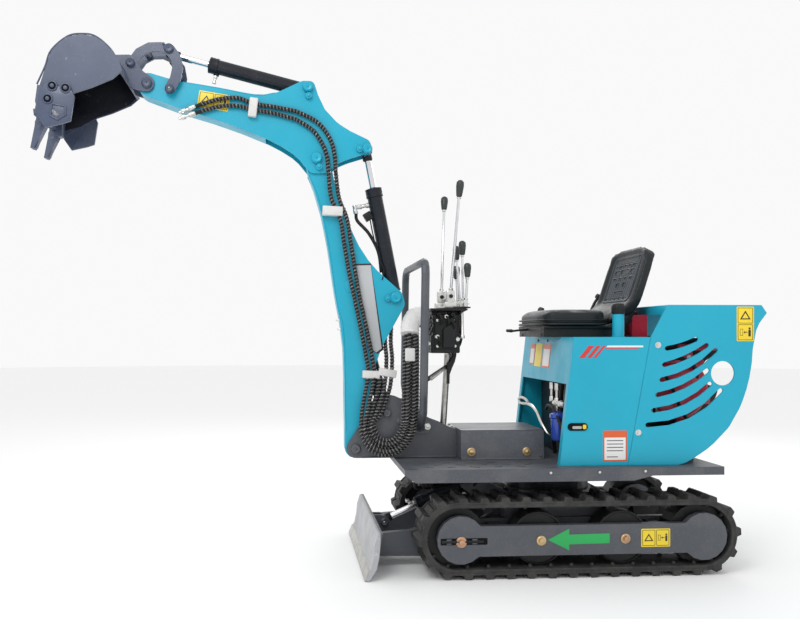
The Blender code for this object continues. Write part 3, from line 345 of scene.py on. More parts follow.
def bolt(target, centre, axis, size=0.0095, index=0, washer=True):
    """A hex head on a washer, standing out along the axis."""
    centre, axis = Vector(centre), Vector(axis).normalized()
    if washer:
        add(target, lathe(centre, axis, [(-0.001, size * 1.45), (size * 0.16, size * 1.45),
            (size * 0.24, size * 1.36)], 22), index)
    head = rod(centre, centre + axis * size * 0.95, size, 6, size * 0.97, size * 0.1)
    add(target, head, index)
    add(target, lathe(centre + axis * size * 0.9, axis, [(0, size * 0.82), (size * 0.09, size * 0.7)], 18),
        index)
    return target


def pin_boss(target, x, z, y, side, radius, tab=None, index=0, bolt_index=1):
    """A pin's end on a cheek: a stepped collar, and a small lock tab with its bolt beside it."""
    out = Vector((0, side, 0))
    base = at(x, side * y, z)
    add(target, lathe(base, out, [(-0.002, radius * 1.12), (0.004, radius * 1.12), (0.006, radius * 1.0),
        (0.011, radius * 0.95), (0.0125, radius * 0.8), (0.0105, radius * 0.42)], 28), index)
    add(target, lathe(base + out * 0.01, out, [(0, 0.0035), (0.003, 0.003), (0.004, 0.0016), (0.0052, 0.0016),
        (0.006, 0)], 10), bolt_index)
    if tab:
        foot = at(x + tab[0], side * y, z + tab[1])
        add(target, lathe(foot, out, [(-0.002, 0.0125), (0.005, 0.0125), (0.0065, 0.011)], 20), index)
        bolt(target, foot + out * 0.006, out, 0.0062, bolt_index, washer=False)


# ---- finishes
FINISH = {}


def shader_of(name):
    mat = bpy.data.materials.new(name)
    mat.use_nodes = True
    return mat, mat.node_tree, mat.node_tree.nodes["Principled BSDF"]


def node(tree, kind, inputs=(), **settings):
    """A node with its settings, and inputs set to values or linked to sockets."""
    made = tree.nodes.new(kind)
    for key, value in settings.items():
        setattr(made, key, value)
    for key, value in dict(inputs).items():
        if isinstance(value, bpy.types.NodeSocket):
            tree.links.new(value, made.inputs[key])
        else:
            made.inputs[key].default_value = value
    return made


def speckle(tree, where, scale, low, high, detail=4.0, roughness=0.6, stretch=None):
    """A 0 to 1 mask of noise between two levels."""
    if stretch:
        where = node(tree, "ShaderNodeMapping", {"Vector": where, "Scale": stretch}).outputs["Vector"]
    cloud = node(tree, "ShaderNodeTexNoise", {"Vector": where, "Scale": scale, "Detail": detail,
        "Roughness": roughness})
    return node(tree, "ShaderNodeMapRange", {"Value": cloud.outputs["Fac"], "From Min": low,
        "From Max": high}).outputs[0]


def mixed(tree, factor, a, b):
    mix = node(tree, "ShaderNodeMix", {"Factor": factor}, data_type="RGBA")
    for socket, value in ((mix.inputs[6], a), (mix.inputs[7], b)):
        if isinstance(value, bpy.types.NodeSocket):
            tree.links.new(value, socket)
        else:
            socket.default_value = (*value, 1)
    return mix.outputs[2]


def scaled(tree, value, factor):
    return node(tree, "ShaderNodeMath", {0: value, 1: factor}, operation="MULTIPLY").outputs[0]


def painted(name, base, rough=0.36, coat=0.25, metal=0.0, dust=0.1, chips=0.0, chip=(0.16, 0.16, 0.17),
        peel=0.06, tone=0.86, edge=0.0016, scratches=0.0, dust_colour=(0.34, 0.32, 0.29), gloss=0.5,
        behind=None):
    """Sprayed paint: tone drift, fine peel, dust, and chips where the work wears it."""
    mat, tree, shader = shader_of(name)
    where = node(tree, "ShaderNodeTexCoord").outputs["Object"]
    drift = speckle(tree, where, 2.6, 0.35, 0.68, 3)
    base = tuple(base)
    ground = mixed(tree, drift, base, tuple(c * tone for c in base))
    fine = speckle(tree, where, 160, 0.56, 0.74, 3)
    smudge = speckle(tree, where, 9, 0.46, 0.8, 6, 0.65)
    soil = scaled(tree, node(tree, "ShaderNodeMath", {0: fine, 1: smudge}, operation="ADD").outputs[0], dust)
    ground = mixed(tree, soil, ground, dust_colour)
    rough_mask = smudge
    if chips:
        spots = speckle(tree, where, 38, 0.66 - 0.1 * chips, 0.7 - 0.1 * chips, 8, 0.72)
        ground = mixed(tree, scaled(tree, spots, 0.85), ground, chip)
        rough_mask = node(tree, "ShaderNodeMath", {0: smudge, 1: spots}, operation="MAXIMUM").outputs[0]
    if scratches:
        lines = speckle(tree, where, 14, 0.6, 0.66, 5, 0.7, (1.0, 14.0, 3.0))
        ground = mixed(tree, scaled(tree, lines, scratches), ground,
            tuple(min(1, c * 1.5 + 0.05) for c in base))
    if behind:
        place = node(tree, "ShaderNodeSeparateXYZ", {"Vector": where}).outputs["X"]
        past = node(tree, "ShaderNodeMapRange", {"Value": place, "From Min": behind[0], "From Max": behind[0]
            + 0.004})
        ground = mixed(tree, past.outputs[0], ground, behind[1])
    tree.links.new(ground, shader.inputs["Base Color"])
    shader.inputs["Specular IOR Level"].default_value = gloss
    span = node(tree, "ShaderNodeMapRange", {"Value": rough_mask, "To Min": rough - 0.04,
        "To Max": min(1, rough + 0.24)})
    tree.links.new(span.outputs[0], shader.inputs["Roughness"])
    shader.inputs["Metallic"].default_value = metal
    shader.inputs["Coat Weight"].default_value = coat
    shader.inputs["Coat Roughness"].default_value = 0.12
    grain = node(tree, "ShaderNodeTexNoise", {"Vector": where, "Scale": 420.0, "Detail": 2.0})
    bump = node(tree, "ShaderNodeBump", {"Height": grain.outputs["Fac"], "Strength": peel, "Distance": 0.001})
    if edge:
        soft = node(tree, "ShaderNodeBevel", {"Radius": edge}, samples=3)
        tree.links.new(soft.outputs[0], bump.inputs["Normal"])
    tree.links.new(bump.outputs[0], shader.inputs["Normal"])
    return mat


def rubber(name, base, dust=0.45):
    """Moulded rubber with dry soil in its texture."""
    mat, tree, shader = shader_of(name)
    where = node(tree, "ShaderNodeTexCoord").outputs["Object"]
    base = tuple(base)
    soil = scaled(tree, speckle(tree, where, 22, 0.42, 0.78, 8, 0.7), dust)
    tree.links.new(mixed(tree, soil, base, (0.125, 0.12, 0.112)), shader.inputs["Base Color"])
    rough = node(tree, "ShaderNodeMapRange", {"Value": soil, "To Min": 0.58, "To Max": 0.95})
    tree.links.new(rough.outputs[0], shader.inputs["Roughness"])
    shader.inputs["Specular IOR Level"].default_value = 0.35
    grain = node(tree, "ShaderNodeTexNoise", {"Vector": where, "Scale": 260.0, "Detail": 6.0})
    bump = node(tree, "ShaderNodeBump", {"Height": grain.outputs["Fac"], "Strength": 0.35,
        "Distance": 0.0015})
    tree.links.new(bump.outputs[0], shader.inputs["Normal"])
    return mat


def metal(name, base, rough=0.25, brush=0.1, spots=0.0, spot=(0.2, 0.13, 0.07)):
    """Bare or plated metal with fine brushing and a little tarnish."""
    mat, tree, shader = shader_of(name)
    where = node(tree, "ShaderNodeTexCoord").outputs["Object"]
    base = tuple(base)
    tarnish = speckle(tree, where, 30, 0.45, 0.8, 6)
    ground = mixed(tree, scaled(tree, tarnish, 0.35 + spots), base, tuple(c * 0.62 for c in base))
    if spots:
        ground = mixed(tree, scaled(tree, speckle(tree, where, 55, 0.6, 0.7, 7), spots), ground, spot)
    tree.links.new(ground, shader.inputs["Base Color"])
    span = node(tree, "ShaderNodeMapRange", {"Value": tarnish, "To Min": rough, "To Max": rough + 0.22})
    tree.links.new(span.outputs[0], shader.inputs["Roughness"])
    shader.inputs["Metallic"].default_value = 1.0
    grain = node(tree, "ShaderNodeTexNoise", {"Vector": where, "Scale": 500.0, "Detail": 3.0})
    bump = node(tree, "ShaderNodeBump", {"Height": grain.outputs["Fac"], "Strength": brush,
        "Distance": 0.0006})
    tree.links.new(bump.outputs[0], shader.inputs["Normal"])
    return mat


def vinyl(name, base, rough=0.4, grain_scale=520.0, grain=0.35):
    """Seat skin: pebble grain from cells, a soft sheen, and dust that greys it in random patches."""
    mat, tree, shader = shader_of(name)
    where = node(tree, "ShaderNodeTexCoord").outputs["Object"]
    base = tuple(base)
    worn = speckle(tree, where, 6, 0.4, 0.75, 5)
    tree.links.new(mixed(tree, scaled(tree, worn, 0.3), base, tuple(c * 2.4 + 0.01 for c in base)),
        shader.inputs["Base Color"])
    span = node(tree, "ShaderNodeMapRange", {"Value": worn, "To Min": rough, "To Max": rough + 0.18})
    tree.links.new(span.outputs[0], shader.inputs["Roughness"])
    shader.inputs["Specular IOR Level"].default_value = 0.35
    cells = node(tree, "ShaderNodeTexVoronoi", {"Vector": where, "Scale": grain_scale})
    bump = node(tree, "ShaderNodeBump", {"Height": cells.outputs["Distance"], "Strength": grain,
        "Distance": 0.0006})
    tree.links.new(bump.outputs[0], shader.inputs["Normal"])
    return mat


def mix_finishes():
    """Every finish of the machine, by a plain name."""
    c = colours()
    FINISH.update(
        body=painted("paint_body", c.body, 0.36, 0.1, dust=0.025, tone=0.93, gloss=0.4),
        chassis=painted("paint_chassis", c.chassis, 0.45, 0.12, dust=0.12, tone=0.85),
        deck=painted("paint_deck", c.chassis, 0.5, 0.08, dust=0.22, tone=0.88),
        # painted light: the chassis paint made a quarter lighter for the upward faces of the floor box and
        # floor plate; its dust is real
        floor=painted("paint_floor", [v * 1.25 for v in c.chassis], 0.42, 0.15, dust=0.2),
        digging=painted("paint_digging", c.digging, 0.42, 0.15, dust=0.1, chips=0.15, chip=(0.3, 0.31, 0.34)),
        worn=painted("paint_worn", c.digging, 0.45, 0.05, dust=0.22, chips=0.7,
            chip=(0.34, 0.33, 0.32), scratches=0.3),
        # painted shade: the bucket paint darkened to a seventh stands for the shade inside the bucket; its
        # chips are wear
        inside=painted("paint_inside", [v * 0.14 for v in c.digging], 0.6, 0.0, dust=0.06, chips=0.2,
            gloss=0.2),
        blade=painted("paint_blade", c.blade, 0.42, 0.05, dust=0.18, chips=0.35, chip=(0.2, 0.2, 0.21),
            scratches=0.5, behind=(AXIS_X - 0.701, tuple(c.chassis))),
        cylinder=painted("paint_cylinder", c.cylinder, 0.4, 0.05, dust=0.05, gloss=0.25),
        engine=painted("paint_engine", c.engine, 0.35, 0.3, dust=0.06),
        label=painted("film_yellow", c.label, 0.38, 0.1, dust=0.03, edge=0),
        white=painted("film_white", (0.8, 0.8, 0.79), 0.4, 0.1, dust=0.05, edge=0),
        silverfilm=painted("film_silver", (0.48, 0.5, 0.52), 0.34, 0.2, dust=0.08, edge=0),
        orange=painted("film_orange", (0.72, 0.11, 0.02), 0.4, 0.1, dust=0.03, edge=0),
        redfilm=painted("film_red", (0.66, 0.03, 0.03), 0.38, 0.1, dust=0.02, edge=0),
        ink=painted("film_black", (0.012, 0.012, 0.012), 0.42, 0.0, dust=0.03, edge=0),
        arrow=painted("film_green", c.arrow, 0.4, 0.1, dust=0.04, edge=0),
        blue=painted("filter_blue", (0.012, 0.06, 0.42), 0.3, 0.4, dust=0.06),
        black=painted("plastic_black", (0.008, 0.009, 0.01), 0.42, 0.0, dust=0.05, peel=0.12, gloss=0.3),
        # painted shade: a near-black matt finish laid in slots, boss hollows, slot floors and on the engine
        # block, standing for the shade inside them
        pocket=painted("dark_recess", (0.004, 0.004, 0.005), 0.8, 0.0, dust=0.03, edge=0, gloss=0.15),
        knob=painted("plastic_knob", (0.03, 0.036, 0.036), 0.4, 0.05, dust=0.06, gloss=0.4),
        strap=painted("strap_white", (0.7, 0.7, 0.69), 0.55, 0.0, dust=0.25, peel=0.3),
        # painted highlight: the spiral guard is made mid grey, standing for the glints on its dark beads; its
        # dust is real
        wrap=painted("spiral_guard", (0.13, 0.13, 0.132), 0.3, 0.3, dust=0.2, peel=0.05, edge=0),
        hose=rubber("hose_rubber", (0.005, 0.005, 0.006), 0.1),
        rubber=rubber("track_rubber", c.rubber),
        chrome=metal("hard_chrome", (0.74, 0.74, 0.76), 0.1, 0.03),
        zinc=metal("zinc_plate", (0.66, 0.66, 0.64), 0.28, 0.15, 0.15),
        brass=metal("yellow_zinc", (0.62, 0.46, 0.25), 0.32, 0.15, 0.25),
        copper=metal("rusty_zinc", (0.56, 0.34, 0.22), 0.38, 0.2, 0.45),
        steel=metal("bare_steel", (0.5, 0.49, 0.46), 0.34, 0.25, 0.3, (0.3, 0.25, 0.18)),
        vinyl=vinyl("seat_vinyl", (0.007, 0.01, 0.012), 0.36),
        panel=vinyl("seat_panel", (0.016, 0.025, 0.036), 0.42, 340.0, 0.55))


CAD_FINISH = {
    "rubber": "track_left track_right",
    "chassis": "track_frame_left track_frame_right chassis_frame boom_bracket handrail",
    "black": "idler_left idler_right rollers_left rollers_right drive_left drive_right seat_base "
        "valve_block",
    "cylinder": "slew_ring blade_cylinder_barrel boom_cylinder_barrel arm_cylinder_barrel "
        "bucket_cylinder_barrel",
    "blade": "blade",
    "chrome": "blade_cylinder_rod boom_cylinder_rod arm_cylinder_rod bucket_cylinder_rod",
    "deck": "deck",
    # painted light: the floor box takes the lightened chassis paint
    "floor": "floor_box",
    "body": "console_side_left console_side_right console_front hood_side_left hood_side_right hood_top "
        "filler_neck boom arm",
    # painted shade: the engine block under the hood takes the near-black shade finish
    "pocket": "engine_block",
    "engine": "fuel_tank",
    "vinyl": "seat_cushion seat_backrest",
    "steel": "valve_stand",
    "zinc": "control_levers",
    "hose": "hose_loop boom_hoses arm_hoses elbow_hoses",
    "digging": "rocker bucket_link bucket",
}


class EXCAVATOR_OT_finishes(bpy.types.Operator):
    """Mix the finishes and give one to every CAD node"""
    bl_idname = "excavator.finishes"
    bl_label = "Finishes"

    def execute(self, context):
        mix_finishes()
        finish_of = {node: finish for finish, nodes in CAD_FINISH.items() for node in nodes.split()}
        for name, obj in frame["nodes"].items():
            if name not in finish_of:
                raise RuntimeError("no finish for the node " + name)
            if not obj.material_slots:
                obj.data.materials.append(None)
            for slot in obj.material_slots:
                slot.material = FINISH[finish_of[name]]
        return {"FINISHED"}


# ---- undercarriage
FRONT_X, REAR_X, TIP_R, LUG, BELT = -0.43, 0.445, 0.142, 0.019, 0.017
BELT_R = TIP_R - LUG


def on_loop(distance, out):
    """A point and the outward direction on a track's loop."""
    run, turn = REAR_X - FRONT_X, math.pi * BELT_R
    d = distance % (2 * run + 2 * turn)
    if d < run:
        return (FRONT_X + d, TIP_R - BELT_R - out), -90.0
    if d < run + turn:
        a = -90 + math.degrees((d - run) / BELT_R)
        centre = REAR_X
    elif d < 2 * run + turn:
        return (REAR_X - (d - run - turn), TIP_R + BELT_R + out), 90.0
    else:
        a = 90 + math.degrees((d - 2 * run - turn) / BELT_R)
        centre = FRONT_X
    r = BELT_R + out
    return (centre + r * math.cos(math.radians(a)), TIP_R + r * math.sin(math.radians(a))), a


def stadium(radius, steps=24):
    """The outline of a belt round both wheels, at a radius from their centres."""
    turns = [(x, math.radians(start + 180 * i / steps)) for x, start in ((REAR_X, -90), (FRONT_X, 90))
        for i in range(steps + 1)]
    return [(x + radius * math.cos(a), TIP_R + radius * math.sin(a)) for x, a in turns]


def lug_block(distance, y0, y1, base, top, height, sink=0.004, lean=0.0):
    """One tread block on the belt, narrower at its top."""
    bm = bmesh.new()
    bmesh.ops.create_cube(bm, size=1.0)
    bmesh.ops.scale(bm, vec=(height + sink, abs(y1 - y0), base), verts=bm.verts)
    upper = [v for v in bm.verts if v.co.x > 0]
    bmesh.ops.scale(bm, vec=(1, 0.96, top / base), verts=upper)
    bmesh.ops.translate(bm, vec=(0, 0, lean), verts=upper)
    bevelled(bm, 0.0022, 1)
    (x, z), a = on_loop(distance, (height - sink) / 2)
    turn = Matrix.Rotation(-math.radians(a), 4, "Y")
    bmesh.ops.transform(bm, matrix=Matrix.Translation(at(x, (y0 + y1) / 2, z)) @ turn, verts=bm.verts)
    return bm


class EXCAVATOR_OT_tracks(bpy.types.Operator):
    """Rubber tracks: belt with rounded shoulders, staggered tread blocks and inner guide horns"""
    bl_idname = "excavator.tracks"
    bl_label = "Tracks"

    def execute(self, context):
        count = sizes().lugs
        loop = 2 * (REAR_X - FRONT_X) + 2 * math.pi * BELT_R
        pitch = loop / count
        for name, side in (("left", -1), ("right", 1)):
            mid = side * 0.3
            bm = gather(plate([stadium(BELT_R), stadium(BELT_R - BELT)], mid - 0.0885, mid + 0.0885, 0.003))
            for edge in (-1, 1):
                y = mid + edge * 0.083
                sheet(bm, [stadium(BELT_R + 0.0035), stadium(BELT_R - 0.004)], y - 0.0068, y + 0.0068, 0.003)
            for i in range(count):
                d = (i + 0.25 + 0.27) * pitch
                for edge in (-1, 1):
                    outer = mid + edge * 0.0895
                    long_side = (i % 2 == 0) == (edge > 0)
                    inner = mid - edge * (0.03 if long_side else -0.046)
                    add(bm, lug_block(d, inner, outer, 0.04, 0.024, LUG - 0.0006))
                add(bm, lug_block(d + pitch / 2, mid - 0.06, mid + 0.06, 0.02, 0.014, 0.004))
                for y in (-0.031, 0.031):
                    (x, z), a = on_loop(d, -BELT - 0.003)
                    horn = rod((0, 0, -0.003), (0, 0, 0.007), 0.009, 6, 0.005, 0.001)
                    turn = Matrix.Rotation(-math.radians(a), 4, "Y") @ Matrix.Rotation(-math.pi / 2, 4, "Y")
                    bmesh.ops.transform(horn, matrix=Matrix.Translation(at(x, mid + y * 1.9, z)) @ turn,
                        verts=horn.verts)
                    add(bm, horn)
            track = piece("rubber_track_" + name, bm, "rubber", "chassis", 34)
            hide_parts("track_" + name)
        return {"FINISHED"}


class EXCAVATOR_OT_undercarriage(bpy.types.Operator):
    """Bolts, tension slot, roller rims, travel arrow and warning plate on the track frames"""
    bl_idname = "excavator.undercarriage"
    bl_label = "Undercarriage"

    def execute(self, context):
        for name, side in (("left", -1), ("right", 1)):
            out = Vector((0, side, 0))
            face = side * 0.384
            # painted shade: the slot's floor is a near-black sheet
            slot = gather(plate(oblong(-0.49, -0.326, 0.1215, 0.1445, 0.002), face - side * 0.001,
                face + side * 0.0008, 0.0003))
            for x0, x1 in ((-0.47, -0.452), (-0.38, -0.362)):
                slab(slot, (x0, face, 0.1235), (x1, face + side * 0.004, 0.1425), index=1)
            bar(slot, (-0.486, face + side * 0.0015, 0.133), (-0.34, face + side * 0.0015, 0.133), 0.0055, 14,
                2)
            piece("tension_slot_" + name, slot, "pocket chassis black", "chassis")
            heads = bmesh.new()
            turned(heads, (-0.418, face, 0.131), out, [(0, 0.019), (0.0035, 0.019), (0.0045, 0.0175)], 28, 1)
            bolt(heads, at(-0.418, face + side * 0.004, 0.131), out, 0.0112, 1)
            for x, z in ((-0.136, 0.132), (0.165, 0.134)):
                finish = 0 if x < 0 else 1
                turned(heads, (x, face, z), out, [(0, 0.017), (0.003, 0.017), (0.004, 0.0155)], 28)
                bolt(heads, at(x, face + side * 0.0035, z), out, 0.01, finish)
            piece("frame_bolts_" + name, heads, "brass copper", "chassis")

            rims = bmesh.new()
            wheel_face = side * 0.3455
            for x in (-0.136, 0.165):
                turned(rims, (x, wheel_face, 0.132), out, [(-0.004, 0.094), (0.0035, 0.094), (0.0045, 0.0925),
                    (0.0045, 0.088), (0.0025, 0.0865), (0.0005, 0.0865), (-0.004, 0.0865), (-0.004, 0.094)],
                    40)
                turned(rims, (x, wheel_face, 0.132), out, [(-0.002, 0.045), (0.006, 0.04), (0.0065, 0)], 32)
            piece("roller_rims_" + name, rims, "black", "chassis")

            arrow = gather(plate([(-0.112, 0.134), (-0.036, 0.172), (-0.037, 0.151), (0.108, 0.153),
                (0.108, 0.119), (-0.037, 0.117), (-0.036, 0.096)], face, face + side * 0.0007, 0.0002))
            piece("travel_arrow_" + name, arrow, "arrow", "chassis")
            sign = bmesh.new()
            warning_plate(sign, 0.222, 0.327, 0.103, 0.167, face, side, wide=True)
            piece("frame_sign_" + name, sign, "label ink", "chassis")
        return {"FINISHED"}


def warning_plate(target, x0, x1, z0, z1, face, side, wide):
    """A blank yellow plate with two framed fields, one of them with a plain triangle."""
    sheet(target, oblong(x0, x1, z0, z1, 0.004), face, face + side * 0.0008, 0.0003)
    ink = face + side * 0.0005
    top = face + side * 0.0011
    m = 0.004
    if wide:
        fields = [(x0 + m, (x0 + x1) / 2 - m / 2, z0 + m, z1 - m), ((x0 + x1) / 2 + m / 2, x1 - m, z0 + m,
            z1 - m)]
    else:
        half = (z0 + z1) / 2
        fields = [(x0 + m, x1 - m, half + m / 2, z1 - m), (x0 + m, x1 - m, z0 + m, half - m / 2)]
    for i, (a, b, c, d) in enumerate(fields):
        t = 0.0018
        sheet(target, [oblong(a, b, c, d, 0.003), oblong(a + t, b - t, c + t, d - t, 0.002)], ink, top,
            0.0002, 1)
        cx, cz, r = (a + b) / 2, (c + d) / 2, min(b - a, d - c) * 0.36
        if i == 0:
            tri = [(cx - r, cz - r * 0.7), (cx + r, cz - r * 0.7), (cx, cz + r * 0.9)]
            k = 0.62
            inner = [(cx + (x - cx) * k, cz + (z - cz - r * -0.16) * k + r * -0.16) for x, z in tri]
            sheet(target, [tri, inner], ink, top, 0.0002, 1)
        else:
            sheet(target, [oblong(cx - r, cx - r * 0.45, cz - r * 0.6, cz + r * 0.6, 0.001),
                oblong(cx - r + 0.0014, cx - r * 0.45 - 0.0014, cz - r * 0.6 + 0.0014, cz + r * 0.6 - 0.0014,
                0.0007)], ink, top, 0.0002, 1)
            sheet(target, [(cx - r * 0.35, cz), (cx - r * 0.05, cz + r * 0.25),
                (cx - r * 0.05, cz + r * 0.07), (cx + r * 0.4, cz + r * 0.07), (cx + r * 0.4, cz - r * 0.07),
                (cx - r * 0.05, cz - r * 0.07), (cx - r * 0.05, cz - r * 0.25)], ink, top, 0.0002, 1)
            sheet(target, oblong(cx + r * 0.55, cx + r, cz - r * 0.75, cz + r * 0.45, 0.002), ink, top,
                0.0002, 1)
            sheet(target, circle((cx + r * 0.77, cz + r * 0.68), r * 0.2, 14), ink, top, 0.0002, 1)


# ---- blade, deck and bracket
class EXCAVATOR_OT_blade_fittings(bpy.types.Operator):
    """Cutting edge, welds, pins and pipes of the dozer blade"""
    bl_idname = "excavator.blade_fittings"
    bl_label = "Blade fittings"

    def execute(self, context):
        edge = gather(plate([(-0.7405, 0.036), (-0.7325, 0.038), (-0.7485, 0.0065), (-0.753, 0.0055)], -0.383,
            0.383, 0.0008))
        for i in range(5):
            y = -0.32 + 0.16 * i
            turned(edge, (-0.7405, y, 0.0275), (-0.9, 0, 0.42),
                [(-0.003, 0.01), (0.0012, 0.01), (0.0022, 0.008)], 20)
        piece("blade_edge", edge, "steel", "blade")
        beads = bmesh.new()
        for side in SIDES:
            for y in (0.1545, 0.1855):
                weld(beads, [(-0.704, side * y, 0.118), (-0.7035, side * y, 0.08),
                    (-0.7085, side * y, 0.044)])
            for y in (0.018, 0.0305):
                weld(beads, [(-0.699, side * y, 0.155), (-0.701, side * y, 0.12), (-0.7035, side * y, 0.088)],
                    0.003)
        piece("blade_welds", beads, "blade", "blade")
        pins = bmesh.new()
        for side in SIDES:
            pin_boss(pins, *CYLINDERS["blade_cylinder"][1], 0.035, side, 0.013)
            turned(pins, (-0.3, side * 0.194, 0.105), (0, side, 0),
                [(-0.002, 0.019), (0.0012, 0.019), (0.003, 0.0175), (0.003, 0.01), (0.0045, 0.009)], 26)
        piece("blade_pins", pins, "chassis zinc", "blade")
        pipes = bmesh.new()
        low, _, along = cylinder_line("blade_cylinder")
        up = Vector((along.z, 0, -along.x)) * -1
        for d, y in ((0.052, -0.006), (0.178, -0.006)):
            foot = low + along * d + up * 0.024 + Vector((0, y, 0))
            add(pipes, rod(foot - up * 0.002, foot + up * 0.012, 0.0085, 6), 0)
            add(pipes, rod(foot + up * 0.01, foot + up * 0.022, 0.0065, 16), 0)
        a = low + along * 0.178 + up * 0.043 + Vector((0, -0.006, 0))
        b = low + along * 0.052 + up * 0.043 + Vector((0, -0.006, 0))
        route = smooth([a - up * 0.02, a + up * 0.002, a - along * 0.04 + up * 0.014,
            b + along * 0.03 + up * 0.018, b - along * 0.01 + up * 0.018, at(-0.262, -0.04, 0.305),
            at(-0.2, -0.055, 0.292)])
        add(pipes, tube(route, 0.0062), 1)
        route = smooth([b - up * 0.02, b + up * 0.004, at(-0.292, 0.02, 0.318), at(-0.235, 0.034, 0.3),
            at(-0.19, 0.04, 0.285)])
        add(pipes, tube(route, 0.0062), 1)
        for x, z in ((-0.556, 0.212), (-0.545, 0.205), (-0.53, 0.207)):
            bar(pipes, (x - 0.009, -0.036, z), (x + 0.006, -0.036, z + 0.001), 0.0085, 6)
        piece("blade_pipes", pipes, "zinc hose", "blade_cylinder_barrel")
        bands = bmesh.new()
        for d in (0.06, 0.12, 0.172):
            add(bands, lathe(low + along * d, along, [(-0.006, 0.025), (-0.006, 0.0266), (0.006, 0.0266),
                (0.006, 0.025), (-0.006, 0.025)], 26))
        piece("blade_cylinder_bands", bands, "cylinder", "blade_cylinder_barrel")
        return {"FINISHED"}


class EXCAVATOR_OT_deck_fittings(bpy.types.Operator):
    """Deck edge bolts, tread bars, under-deck fittings and the bolts of the floor box"""
    bl_idname = "excavator.deck_fittings"
    bl_label = "Deck fittings"

    def execute(self, context):
        heads = bmesh.new()
        for side in SIDES:
            out = (0, side, 0)
            for x in (-0.1, 0.075, 0.24):
                bolt(heads, at(x, side * 0.375, 0.3665 if x < 0.2 else 0.3685), out, 0.0052, 0, washer=False)
            for x in (-0.331, -0.12):
                turned(heads, (x, side * 0.14, 0.41), out, [(-0.001, 0.0165), (0.002, 0.0165),
                    (0.003, 0.015)], 26, 1)
                bolt(heads, at(x, side * 0.1425, 0.41), out, 0.01, 1)
        for x, y in ((0.43, -0.15), (0.43, 0.15), (0.462, -0.15), (0.462, 0.15)):
            bolt(heads, at(x, y, 0.381), (0, 0, 1), 0.0095, 0)
        piece("deck_bolts", heads, "zinc brass", "house")
        bars = bmesh.new()
        for side in SIDES:
            for row in range(3):
                for i in range(5):
                    x = -0.52 + 0.082 * i + (0.041 if row % 2 else 0)
                    y = side * (0.21 + 0.055 * row)
                    way = 0.014 if (i + row) % 2 else -0.014
                    tread = block((x - 0.018, y - 0.0035, 0.3805), (x + 0.018, y + 0.0035, 0.3832), 0.0012, 1)
                    bmesh.ops.rotate(tread, cent=at(x, y, 0.381), matrix=Matrix.Rotation(math.copysign(0.55,
                        way), 3, "Z"), verts=tread.verts)
                    add(bars, tread)
        piece("deck_tread", bars, "deck", "house")
        rim = bmesh.new()
        sheet(rim, oblong(-0.37, -0.0542, 0.4885, 0.4925, 0.0015), -0.1385, 0.1385, 0.0015)
        for side in SIDES:
            weld(rim, [(-0.366, side * 0.1415, 0.3835), (-0.22, side * 0.1415, 0.3835),
                (-0.06, side * 0.1415, 0.3835)], 0.003)
            bolt(rim, at(-0.066, side * 0.1395, 0.395), (0, side, 0), 0.005, 0, washer=False)
        # painted light: the floor plate takes the lightened chassis paint
        piece("floor_plate", rim, "floor", "house")
        lower = bmesh.new()
        turned(lower, (-0.5, -0.11, 0.3345), (0, 0, -1), [(0, 0.034), (0.03, 0.034), (0.034, 0.028),
            (0.052, 0.028), (0.055, 0.02)], 28)
        for k in range(3):
            x = -0.545 + 0.03 * k
            bar(lower, (x, -0.135, 0.3345), (x, -0.135, 0.3), 0.009, 6, 1)
            pipe(lower, [(x, -0.135, 0.302), (x + 0.004, -0.135, 0.284), (x + 0.03, -0.11, 0.274),
                (-0.33, -0.075, 0.29), (-0.18, -0.06, 0.3)], 0.0065, 2)
        piece("under_deck_fittings", lower, "black zinc hose", "house")
        return {"FINISHED"}


class EXCAVATOR_OT_bracket_fittings(bpy.types.Operator):
    """Pins, lobe bosses and welds of the boom bracket"""
    bl_idname = "excavator.bracket_fittings"
    bl_label = "Bracket fittings"

    def execute(self, context):
        bm = bmesh.new()
        for side in SIDES:
            pin_boss(bm, -0.758, 0.417, 0.0675, side, 0.0165)
            pin_boss(bm, -0.64, 0.552, 0.0675, side, 0.014, (-0.03, -0.012))
            turned(bm, (-0.592, side * 0.062, 0.52), (0, side, 0),
                [(-0.001, 0.0115), (0.004, 0.0115), (0.005, 0.01)], 22)
            weld(bm, [(-0.735, side * 0.0635, 0.3845), (-0.6, side * 0.0635, 0.3845),
                (-0.375, side * 0.0635, 0.3845)])
        piece("bracket_pins", bm, "chassis chassis", "house")
        return {"FINISHED"}


